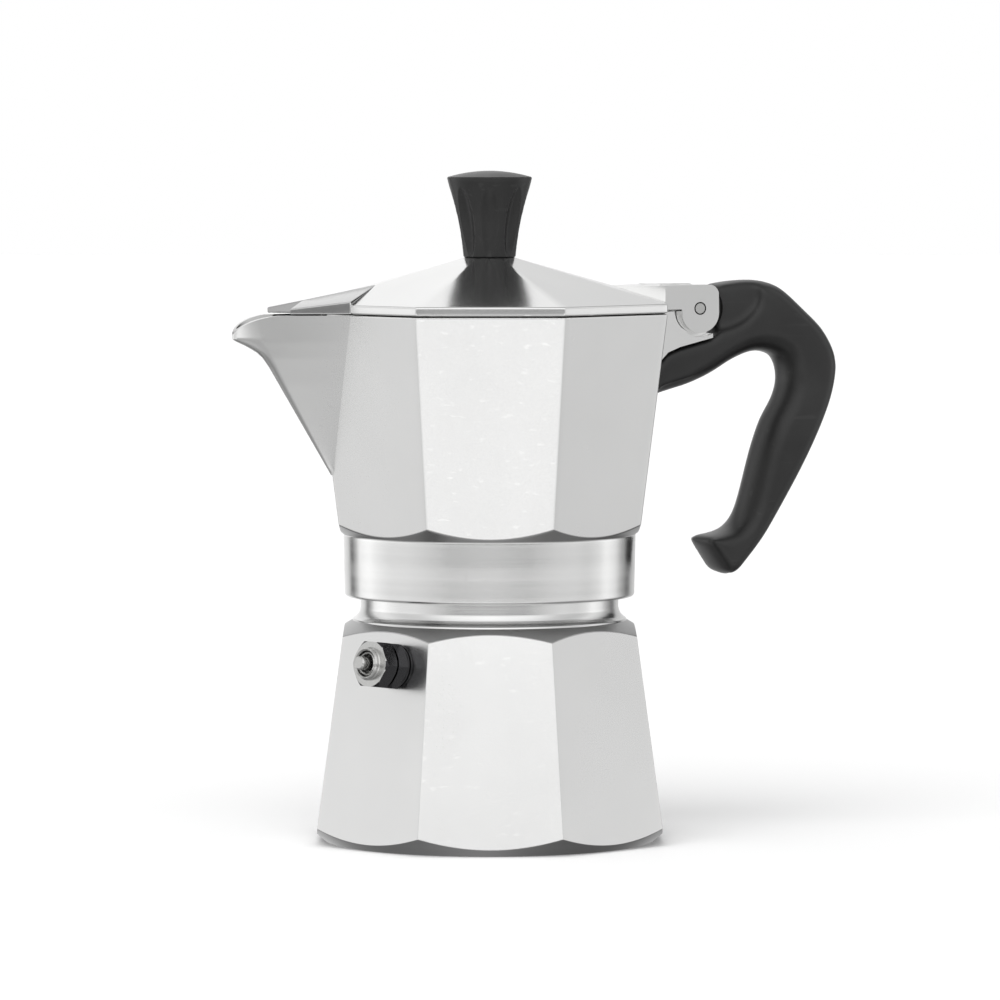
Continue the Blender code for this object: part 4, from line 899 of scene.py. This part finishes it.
def beak(base):
    """The gabled beak over the spout, with a notch between two prongs."""
    rim_a, root_y, prong = 0.0420, 0.0122, (-0.0540, 0.0075, 0.1279)
    corner_x = -(rim_a / math.cos(HALF_SIDE) - root_y * math.tan(HALF_SIDE))
    plan = [(-0.0290, 0, 0.1332), (corner_x, root_y, 0.1296), prong]
    plan += [(-0.0480, 0, 0.1297), (prong[0], -prong[1], prong[2]), (corner_x, -root_y, 0.1296)]
    bm = bmesh.new()
    high = [bm.verts.new(point) for point in plan]
    low = [bm.verts.new((x, y, base)) for x, y, _ in plan]
    low[0].co = (-0.0300, 0, 0.1312)
    for ring in (high, low):
        for corners in ((0, 1, 3), (1, 2, 3), (3, 4, 5), (0, 3, 5)):
            bm.faces.new([ring[i] for i in corners])
    for i in range(6):
        bm.faces.new((high[i - 1], high[i], low[i], low[i - 1]))
    return add_piece("lid_beak", bm, "tumbled_aluminium")


def hinge_wedge(base):
    """The flat-topped wedge that ends in the two ears."""
    tip, front, notch, top, half = 0.0315, 0.0425, 0.0460, 0.1325, EAR_OUTER
    plan = [(tip, 0.0002), (front, half), (notch, half), (notch, -half), (front, -half), (tip, -0.0002)]
    tip_under = 0.1305
    under = [tip_under, base, base, base, base, tip_under]
    bm = bmesh.new()
    high = [bm.verts.new((x, y, top - 0.0001)) for x, y in plan]
    low = [bm.verts.new((x, y, z)) for (x, y), z in zip(plan, under)]
    bm.faces.new(high)
    bm.faces.new((low[1], low[2], low[3], low[4]))
    bm.faces.new((low[0], low[1], low[4], low[5]))
    for i in range(6):
        bm.faces.new((high[i - 1], high[i], low[i], low[i - 1]))
    wedge = add_piece("lid_wedge", bm, "tumbled_aluminium")
    back = PIN.x + 0.0050
    lobe, lobe_r, corner_r = (PIN.x + 0.0001, PIN.z - 0.0010), 0.0049, 0.0026
    outline = [(front, top), *arc((back - corner_r, top - corner_r), corner_r, 90, 15, 10)]
    outline += [*arc(lobe, lobe_r, 0, -180, 28), (lobe[0] - lobe_r, base), (front, base)]
    for side in (-1, 1):
        ear = slab(f"lid_ear_{side}", outline, side * EAR_INNER, side * half, "tumbled_aluminium")
        boolean(wedge, "UNION", ear)
    return break_edges(wedge, 0.0003, 2, 30)


# Knob


def build_knob():
    foot, edge_z, top = KNOB_LOW - GAP * 0.9, KNOB_HIGH - 0.0019, KNOB_HIGH
    flute_from, flute_to = foot + 0.0004, edge_z - 0.0021
    flutes, half_width, depth = 8, math.radians(16), 0.0012

    def side(z):
        t = (z - foot) / (edge_z - foot)
        r = 0.0062 + 0.0039 * (0.72 * t + 0.28 * t * t)
        s = min(1.0, max(0.0, (z - flute_from) / (flute_to - flute_from)))
        swell = math.sin(math.pi * s ** 0.9) if 0 < s < 1 else 0.0

        def at(angle):
            step = 2 * math.pi / flutes
            off = abs((angle % step) - step / 2)
            width = half_width * swell**0.45 + 1e-6
            return r - depth * swell**0.55 * max(0.0, 1 - (off / width) ** 2), z

        return at

    hole_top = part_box("knob_insert")[1][2] + GAP
    hole_r, foot_r = 0.0037, 0.0059
    stations = [(0, hole_top), (hole_r, hole_top), (hole_r, foot), (foot_r, foot)]
    stations += [side(foot + 0.0003 + (edge_z - 0.0010 - foot) * i / 60) for i in range(61)]
    crown_r, crown_z = 0.0097, edge_z + 0.0005
    stations += arc((crown_r, edge_z + 0.0001), 0.0004, 0, 75, 5)
    rise = top - edge_z - 0.0005
    for share in (0.97, 0.9, 0.8, 0.65, 0.5, 0.3, 0.12):
        stations.append((crown_r * share, crown_z + rise * (1 - share**2)))
    stations.append((0, top))
    knob = revolve("knob_grip", stations, "etched_plastic", segments=192)
    smooth(knob, 38)
    stand_for(knob, "lid", "black_plastic", "knob")


# Handle


def handle_outline(steps):
    """The handle from the side, as (x, z, roundness): arm under the hinge, curved grip and flat foot."""
    under = [(0.0390, 0.1049), (0.0443, 0.1065), (0.0508, 0.1083), (0.0566, 0.1107), (0.0624, 0.1140)]
    inside = [(0.0674, 0.1159), (0.0711, 0.1160), (0.0749, 0.1144), (0.0765, 0.1099), (0.0754, 0.1051)]
    inside += [(0.0722, 0.0995), (0.0694, 0.0918), (0.0657, 0.0788), (0.0629, 0.0742), (0.0594, 0.0724)]
    outside = [(0.0638, 0.0632), (0.0700, 0.0699), (0.0747, 0.0767), (0.0811, 0.0874), (0.0856, 0.0961)]
    outside += [(0.0887, 0.1036), (0.0901, 0.1093), (0.0903, 0.1133), (0.0892, 0.1172), (0.0862, 0.1220)]
    outside += [(0.0812, 0.1267), (0.0768, 0.1305), (0.0735, 0.1324), (0.0687, 0.1334), (0.0625, 0.1331)]
    full = [(x, z, 1.0) for x, z in under + inside[:-2]]
    full += [(x, z, share) for (x, z), share in zip(inside[-2:], (0.8, 0.5))]
    line = curve_through([*full, (0.0555, 0.0717, 0.3)], steps)
    line += [(0.0547, 0.0704, 0.25), (0.0597, 0.0629, 0.25), (0.0614, 0.0619, 0.3)]
    back = [(x, z, share) for (x, z), share in zip(outside, (0.5, 0.8))]
    back += [(x, z, 1.0) for x, z in outside[2:-4]]
    back += [(x, z, share) for (x, z), share in zip(outside[-4:], (0.95, 0.8, 0.6, 0.4))]
    line += curve_through([*back, (0.0574, 0.1322, 0.2)], steps)
    line += [(x, z, 0.0) for x, z in ((0.0572, 0.1208), (0.0549, 0.1193), (0.0465, 0.1171), (0.0432, 0.1158))]
    return [*line, (0.0390, 0.1110, 0.0)]


def inset(outline, depth):
    """The outline's points moved inwards by depth times each one's roundness."""
    moved = []
    for before, (x, z, share), after in zip([outline[-1], *outline], outline, [*outline[1:], outline[0]]):
        run, rise = after[0] - before[0], after[1] - before[1]
        length = math.hypot(run, rise)
        moved.append((x - rise / length * depth * share, z + run / length * depth * share))
    return moved


def oval_bar(name, outline, half, depth, width, steps, *finishes):
    """A bar with this outline from the side, whose edges are quarter ovals of this depth and width."""
    quarter = [math.pi / 2 * step / steps for step in range(steps + 1)]
    rows = [(half - width * (1 - math.sin(turn)), depth * (1 - math.cos(turn))) for turn in quarter]
    rows = [(-y, inwards) for y, inwards in reversed(rows)] + rows
    return loft(name, [[(x, y, z) for x, z in inset(outline, inwards)] for y, inwards in rows], *finishes)


def build_handle():
    half = 0.0076
    handle = oval_bar("handle_grip", handle_outline(4), half, 0.0047, 0.0073, 10, "etched_plastic")
    (x, z), long, short = (PIN.x + 0.0065, PIN.z - 0.0002), 0.0105, 0.0068
    scoop = [(x + long * math.cos(turn), z + short * math.sin(turn)) for turn in circle(48)]
    tilt = Matrix.Translation(PIN) @ Matrix.Rotation(math.radians(-14), 4, "Y") @ Matrix.Translation(-PIN)
    for side in (-1, 1):
        y_from, y_to = side * (half - 0.0022), side * (half + 0.004)
        hollow = slab(f"cheek_hollow_{side}", scoop, y_from, y_to, "etched_plastic")
        boolean(handle, "DIFFERENCE", place(hollow, tilt))
    remesh = handle.modifiers.new("skin", "REMESH")
    remesh.mode = "VOXEL"
    remesh.voxel_size = 0.0005
    relax = handle.modifiers.new("rounding", "SMOOTH")
    relax.factor = 0.6
    relax.iterations = 40
    apply(handle)
    screw_x = PIN.x - 0.0046
    chamber = [(0, 0.09), on_facets(-GAP, 0.09), on_facets(-GAP, 0.15), (0, 0.15)]
    cuts = [
        revolve("chamber_room", chamber, "etched_plastic", segments=SIDES),
        slab("tongue_slot", tongue_outline(GAP, 0.034), -EAR_SLOT, EAR_SLOT, "etched_plastic"),
        across_pin("knuckle_room", 0.0052, -0.01, 0.01, "etched_plastic"),
        rod("screw_head_room", 0.0027, (screw_x, 0, 0.1), (screw_x, 0, 0.1093), "etched_plastic"),
        rod("screw_room", 0.0019, (screw_x, 0, 0.1), (screw_x, 0, 0.1138), "etched_plastic"),
    ]
    for side in (-1, 1):
        cuts.append(across_pin(f"ear_room_{side}", 0.0072, side * EAR_SLOT, side * 0.012, "etched_plastic"))
    boolean(handle, "DIFFERENCE", *cuts)
    smooth(handle, 40)
    stand_for(handle, "collector", "black_plastic", "handle")


def circle(steps):
    return [2 * math.pi * step / steps for step in range(steps)]


# Funnel and gasket


def build_funnel():
    """The basket with its flange and cone, and the riser tube flared into the cone."""
    flange_r, _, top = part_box("funnel")[1]
    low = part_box("funnel")[0][2]
    tube_r, tube_low = 0.0046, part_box("funnel_tube")[0][2]
    basket_r, collar_r, sheet = flange_r - 0.0044, tube_r + 0.0005, 0.0008
    floor, cone_low = top - 0.0215, low + 0.0050
    inside = [(basket_r, top - 0.0003), (basket_r, floor + 0.0006), (basket_r - 0.0004, floor)]
    inside += [(basket_r - 0.0015, floor - 0.0004), (collar_r + 0.0012, cone_low + sheet)]
    inside += [(collar_r, cone_low), (collar_r, low)]
    outside = [(collar_r + sheet, low), (collar_r + sheet, cone_low - 0.0004), (collar_r + 0.0018, cone_low)]
    outside += [(basket_r - 0.0010, floor - 0.0012), (basket_r + 0.0005, floor - 0.0008)]
    outside += [(basket_r + sheet, floor), (basket_r + sheet, top - 0.0016)]
    outside += [(basket_r + 0.0011, top - 0.0010), (flange_r - 0.0002, top - 0.0010)]
    outside += [(flange_r, top - 0.0008), (flange_r, top - 0.0002)]
    outside += [(flange_r - 0.0002, top), (basket_r + 0.0003, top)]
    funnel = revolve("funnel_sheet", inside + outside, "pressed_sheet")
    smooth(break_edges(funnel, 0.0002, 2, 40), 40, True)
    stand_for(funnel, "funnel", "pressed_aluminium", "funnel")
    wall = 0.0006
    stations = [(tube_r - wall, tube_low), (tube_r, tube_low), (tube_r, cone_low)]
    stations += [(tube_r + 0.0012, cone_low + 0.0015), (tube_r + 0.0010, cone_low + 0.0021)]
    stations += [(tube_r - wall, cone_low + wall)]
    tube = revolve("riser_tube", stations, "pressed_sheet", segments=64)
    smooth(break_edges(tube, 0.0001, 2, 60), 40, True)
    stand_for(tube, "funnel", "pressed_aluminium", "funnel_tube")


def build_gasket():
    (_, _, low), (outer, _, high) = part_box("gasket")
    inner, edge = outer - 0.0039, 0.0004
    stations = [(inner, low + edge), (inner + edge, low), (outer - edge, low), (outer, low + edge)]
    stations += [(outer, high - edge), (outer - edge, high), (inner + edge, high), (inner, high - edge)]
    ring = revolve("gasket_ring", stations, "white_rubber")
    smooth(break_edges(ring, 0.0002, 2, 30), 50)
    stand_for(ring, "gasket", "seal_rubber", "gasket")


# Small parts that keep their working shape

CARRIED = {
    "valve_washer": "dark_steel",
    "valve_seal": "white_rubber",
    "valve_stem": "turned_steel",
    "valve_spring": "turned_steel",
    "valve_retainer": "turned_steel",
    "funnel_screen": "pressed_sheet",
    "filter_plate": "pressed_sheet",
    "hinge_pin": "turned_steel",
    "knob_insert": "turned_brass",
    "knob_screw": "turned_steel",
    "knob_washer": "turned_steel",
    "handle_screw": "turned_steel",
}


def finish_carried():
    for node, label in CARRIED.items():
        carried = frame["nodes"][node]
        for slot in carried.material_slots:
            slot.material = surface(label)


# Stage


# Light round the pot as (place, brightness). By direction: 0 towards the camera, 0.5 beside it, 1 behind
RIGHT_SIDE = (
    *((0.0, 1.22), (0.15, 1.12), (0.28, 1.02), (0.38, 0.92), (0.47, 0.84), (0.53, 0.96), (0.59, 1.25)),
    *((0.65, 1.05), (0.72, 0.45), (0.79, 0.14), (0.86, 0.60), (1.0, 0.78)),
)
LEFT_SIDE = (
    *((0.0, 1.22), (0.15, 1.14), (0.28, 1.05), (0.38, 1.0), (0.48, 1.0), (0.54, 1.12), (0.62, 1.35)),
    *((0.69, 1.20), (0.74, 0.45), (0.78, 0.12), (0.84, 0.80), (1.0, 1.08)),
)
# By height: 0 straight down, 0.5 level, 1 straight up, and two bands at eye level
HEIGHTS = (
    *((0.0, 0.48), (0.10, 0.38), (0.20, 0.39), (0.27, 0.62)),
    *((0.34, 1.0), (0.66, 1.0), (0.85, 0.95), (1.0, 0.45)),
)
FRONT_BAND = ((0.0, 1.0), (0.40, 1.0), (0.455, 0.27), (0.53, 0.27), (0.57, 1.0), (1.0, 1.0))
SIDE_BAND = ((0.0, 0.72), (0.43, 0.72), (0.465, 1.0), (0.515, 1.0), (0.55, 0.72), (0.72, 0.72), (1.0, 1.0))

CAMERA_TURN = math.radians(-22.8)
CAMERA_DISTANCE, CAMERA_HEIGHT = 1.67, 0.179
AIM_ASIDE, AIM_HEIGHT = 0.0025, 0.0814


def ramp(nodes, value, stops):
    """Greys between 0 and 1 placed along a value."""
    node = nodes.add("ShaderNodeValToRGB", {"Fac": value})
    band = node.color_ramp
    band.interpolation = "EASE"
    while len(band.elements) < len(stops):
        band.elements.new(0.5)
    for element, (position, _) in zip(band.elements, stops):
        element.position = position
    for element, (_, grey) in zip(band.elements, stops):
        element.color = (grey, grey, grey, 1)
    return node.outputs["Color"]


def build_world(azimuth):
    """A light tent: white to the camera, and brighter and darker by direction to everything else."""
    world = bpy.data.worlds.new("studio")
    bpy.context.scene.world = world
    world.use_nodes = True
    nodes = Nodes(world.node_tree)
    background = world.node_tree.nodes["Background"]
    direction = nodes.add("ShaderNodeTexCoord").outputs["Generated"]
    x, y, z = nodes.add("ShaderNodeSeparateXYZ", {"Vector": direction}).outputs
    cos, sin = math.cos(azimuth), math.sin(azimuth)
    ahead = nodes.math("SUBTRACT", nodes.math("MULTIPLY", x, sin), nodes.math("MULTIPLY", y, cos))
    across = nodes.math("ADD", nodes.math("MULTIPLY", x, cos), nodes.math("MULTIPLY", y, sin))
    turn = nodes.math("DIVIDE", nodes.math("ARCTAN2", nodes.math("ABSOLUTE", across), ahead), math.pi)
    side = nodes.remap(across, -0.02, 0.10, 0.0, 1.0)
    tone = nodes.mix(side, ramp(nodes, turn, LEFT_SIDE), ramp(nodes, turn, RIGHT_SIDE))
    height = nodes.math("MULTIPLY_ADD", z, 0.5, 0.5)
    tone = nodes.mix(1.0, tone, ramp(nodes, height, HEIGHTS), "MULTIPLY")
    past_front, past_side = nodes.remap(turn, 0.22, 0.38, 0.0, 1.0), nodes.remap(turn, 0.66, 0.80, 0.0, 1.0)
    beside = nodes.math("SUBTRACT", past_front, past_side)
    tone = nodes.mix(beside, tone, nodes.mix(1.0, tone, ramp(nodes, height, SIDE_BAND), "MULTIPLY"))
    frontal = nodes.remap(turn, 0.38, 0.18, 0.0, 1.0)
    tone = nodes.mix(frontal, tone, nodes.mix(1.0, tone, ramp(nodes, height, FRONT_BAND), "MULTIPLY"))
    seen = nodes.add("ShaderNodeLightPath").outputs["Is Camera Ray"]
    world.node_tree.links.new(nodes.mix(seen, tone, (1, 1, 1, 1)), background.inputs["Color"])


def add_sun(name, strength, spread, toward):
    """A wide, soft sun from this direction, unseen in the metal."""
    sun = bpy.data.lights.new(name, "SUN")
    sun.energy = strength
    sun.angle = math.radians(spread)
    made = bpy.data.objects.new(name, sun)
    bpy.context.scene.collection.objects.link(made)
    made.matrix_world = Vector(toward).to_track_quat("Z", "Y").to_matrix().to_4x4()
    made.visible_glossy = False


def add_camera():
    cos, sin = math.cos(CAMERA_TURN), math.sin(CAMERA_TURN)
    location = Vector((CAMERA_DISTANCE * sin, -CAMERA_DISTANCE * cos, CAMERA_HEIGHT))
    target = AIM_ASIDE * Vector((cos, sin, 0)) + Vector((0, 0, AIM_HEIGHT))
    lens = bpy.data.cameras.new("camera")
    lens.lens = 252
    lens.clip_start = 0.1
    viewer = bpy.data.objects.new("camera", lens)
    bpy.context.scene.collection.objects.link(viewer)
    look = (target - location).to_track_quat("-Z", "Y").to_matrix().to_4x4()
    viewer.matrix_world = Matrix.Translation(location) @ look
    bpy.context.scene.camera = viewer


def build_stage():
    """The camera, a pale floor, the light tent and one soft light."""
    add_camera()
    bm = bmesh.new()
    bmesh.ops.create_circle(bm, cap_ends=True, segments=96, radius=6.0)
    floor = add_piece("floor", bm)
    made, nodes, shader = finish("pale_floor", (0.97, 0.97, 0.97), 0.0, 0.9)
    cloud = noise(nodes, object_point(nodes), 1.5)
    tone = nodes.mix(cloud, (0.96, 0.96, 0.96, 1), (0.98, 0.98, 0.98, 1))
    nodes.tree.links.new(tone, shader.inputs["Base Color"])
    floor.data.materials.append(made)
    floor.visible_glossy = False
    build_world(CAMERA_TURN)
    add_sun("soft_key", 1.65, 60, (-0.55, -0.65, 1.0))
    bpy.context.scene.view_settings.view_transform = "Standard"


# Operators


class MOKA_OT_boiler(bpy.types.Operator):
    """Build the faceted lower chamber with its neck and thread"""

    bl_idname = "moka.boiler"
    bl_label = "Boiler"
    bl_options = {"REGISTER", "UNDO"}

    def execute(self, context):
        build_boiler()
        return {"FINISHED"}


class MOKA_OT_valve(bpy.types.Operator):
    """Build the hexagon body of the safety valve"""

    bl_idname = "moka.valve"
    bl_label = "Safety valve"
    bl_options = {"REGISTER", "UNDO"}

    def execute(self, context):
        build_valve()
        return {"FINISHED"}


class MOKA_OT_collector(bpy.types.Operator):
    """Build the upper chamber with belt, spout and hinge lug"""

    bl_idname = "moka.collector"
    bl_label = "Collector"
    bl_options = {"REGISTER", "UNDO"}

    def execute(self, context):
        build_collector()
        return {"FINISHED"}


class MOKA_OT_lid(bpy.types.Operator):
    """Build the pitched lid with its beak and ears"""

    bl_idname = "moka.lid"
    bl_label = "Lid"
    bl_options = {"REGISTER", "UNDO"}

    def execute(self, context):
        build_lid()
        return {"FINISHED"}


class MOKA_OT_knob(bpy.types.Operator):
    """Build the fluted knob"""

    bl_idname = "moka.knob"
    bl_label = "Knob"
    bl_options = {"REGISTER", "UNDO"}

    def execute(self, context):
        build_knob()
        return {"FINISHED"}


class MOKA_OT_handle(bpy.types.Operator):
    """Build the curved handle"""

    bl_idname = "moka.handle"
    bl_label = "Handle"
    bl_options = {"REGISTER", "UNDO"}

    def execute(self, context):
        build_handle()
        return {"FINISHED"}


class MOKA_OT_small_parts(bpy.types.Operator):
    """Finish the parts that keep their working shape"""

    bl_idname = "moka.small_parts"
    bl_label = "Small parts"
    bl_options = {"REGISTER", "UNDO"}

    def execute(self, context):
        finish_carried()
        return {"FINISHED"}


class MOKA_OT_funnel(bpy.types.Operator):
    """Build the basket, its cone and the riser tube"""

    bl_idname = "moka.funnel"
    bl_label = "Funnel"
    bl_options = {"REGISTER", "UNDO"}

    def execute(self, context):
        build_funnel()
        return {"FINISHED"}


class MOKA_OT_gasket(bpy.types.Operator):
    """Build the rubber ring under the collector"""

    bl_idname = "moka.gasket"
    bl_label = "Gasket"
    bl_options = {"REGISTER", "UNDO"}

    def execute(self, context):
        build_gasket()
        return {"FINISHED"}


class MOKA_OT_stage(bpy.types.Operator):
    """Set up the floor, the light and the camera"""

    bl_idname = "moka.stage"
    bl_label = "Stage"
    bl_options = {"REGISTER", "UNDO"}

    def execute(self, context):
        build_stage()
        return {"FINISHED"}


OPERATORS = [
    MOKA_OT_boiler,
    MOKA_OT_valve,
    MOKA_OT_collector,
    MOKA_OT_lid,
    MOKA_OT_knob,
    MOKA_OT_handle,
    MOKA_OT_small_parts,
    MOKA_OT_funnel,
    MOKA_OT_gasket,
    MOKA_OT_stage,
]


class MOKA_PT_panel(bpy.types.Panel):
    """Lists the pieces in the sidebar"""

    bl_label = "Moka pot"
    bl_idname = "MOKA_PT_panel"
    bl_space_type = "VIEW_3D"
    bl_region_type = "UI"
    bl_category = "Moka pot"

    def draw(self, context):
        for made in OPERATORS:
            self.layout.operator(made.bl_idname)
        for group in (context.scene.moka_sizes, context.scene.moka_colours):
            for name in group.bl_rna.properties.keys():
                if name not in ("rna_type", "name"):
                    self.layout.prop(group, name)


CLASSES = [BodySizes, FinishColours, *OPERATORS, MOKA_PT_panel]


def register():
    for made in CLASSES:
        bpy.utils.register_class(made)
    bpy.types.Scene.moka_sizes = PointerProperty(type=BodySizes)
    bpy.types.Scene.moka_colours = PointerProperty(type=FinishColours)


def unregister():
    del bpy.types.Scene.moka_sizes
    del bpy.types.Scene.moka_colours
    for made in reversed(CLASSES):
        bpy.utils.unregister_class(made)


def main():
    register()
    for made in OPERATORS:
        category, name = made.bl_idname.split(".")
        getattr(getattr(bpy.ops, category), name)()


if __name__ == "__main__":
    main()
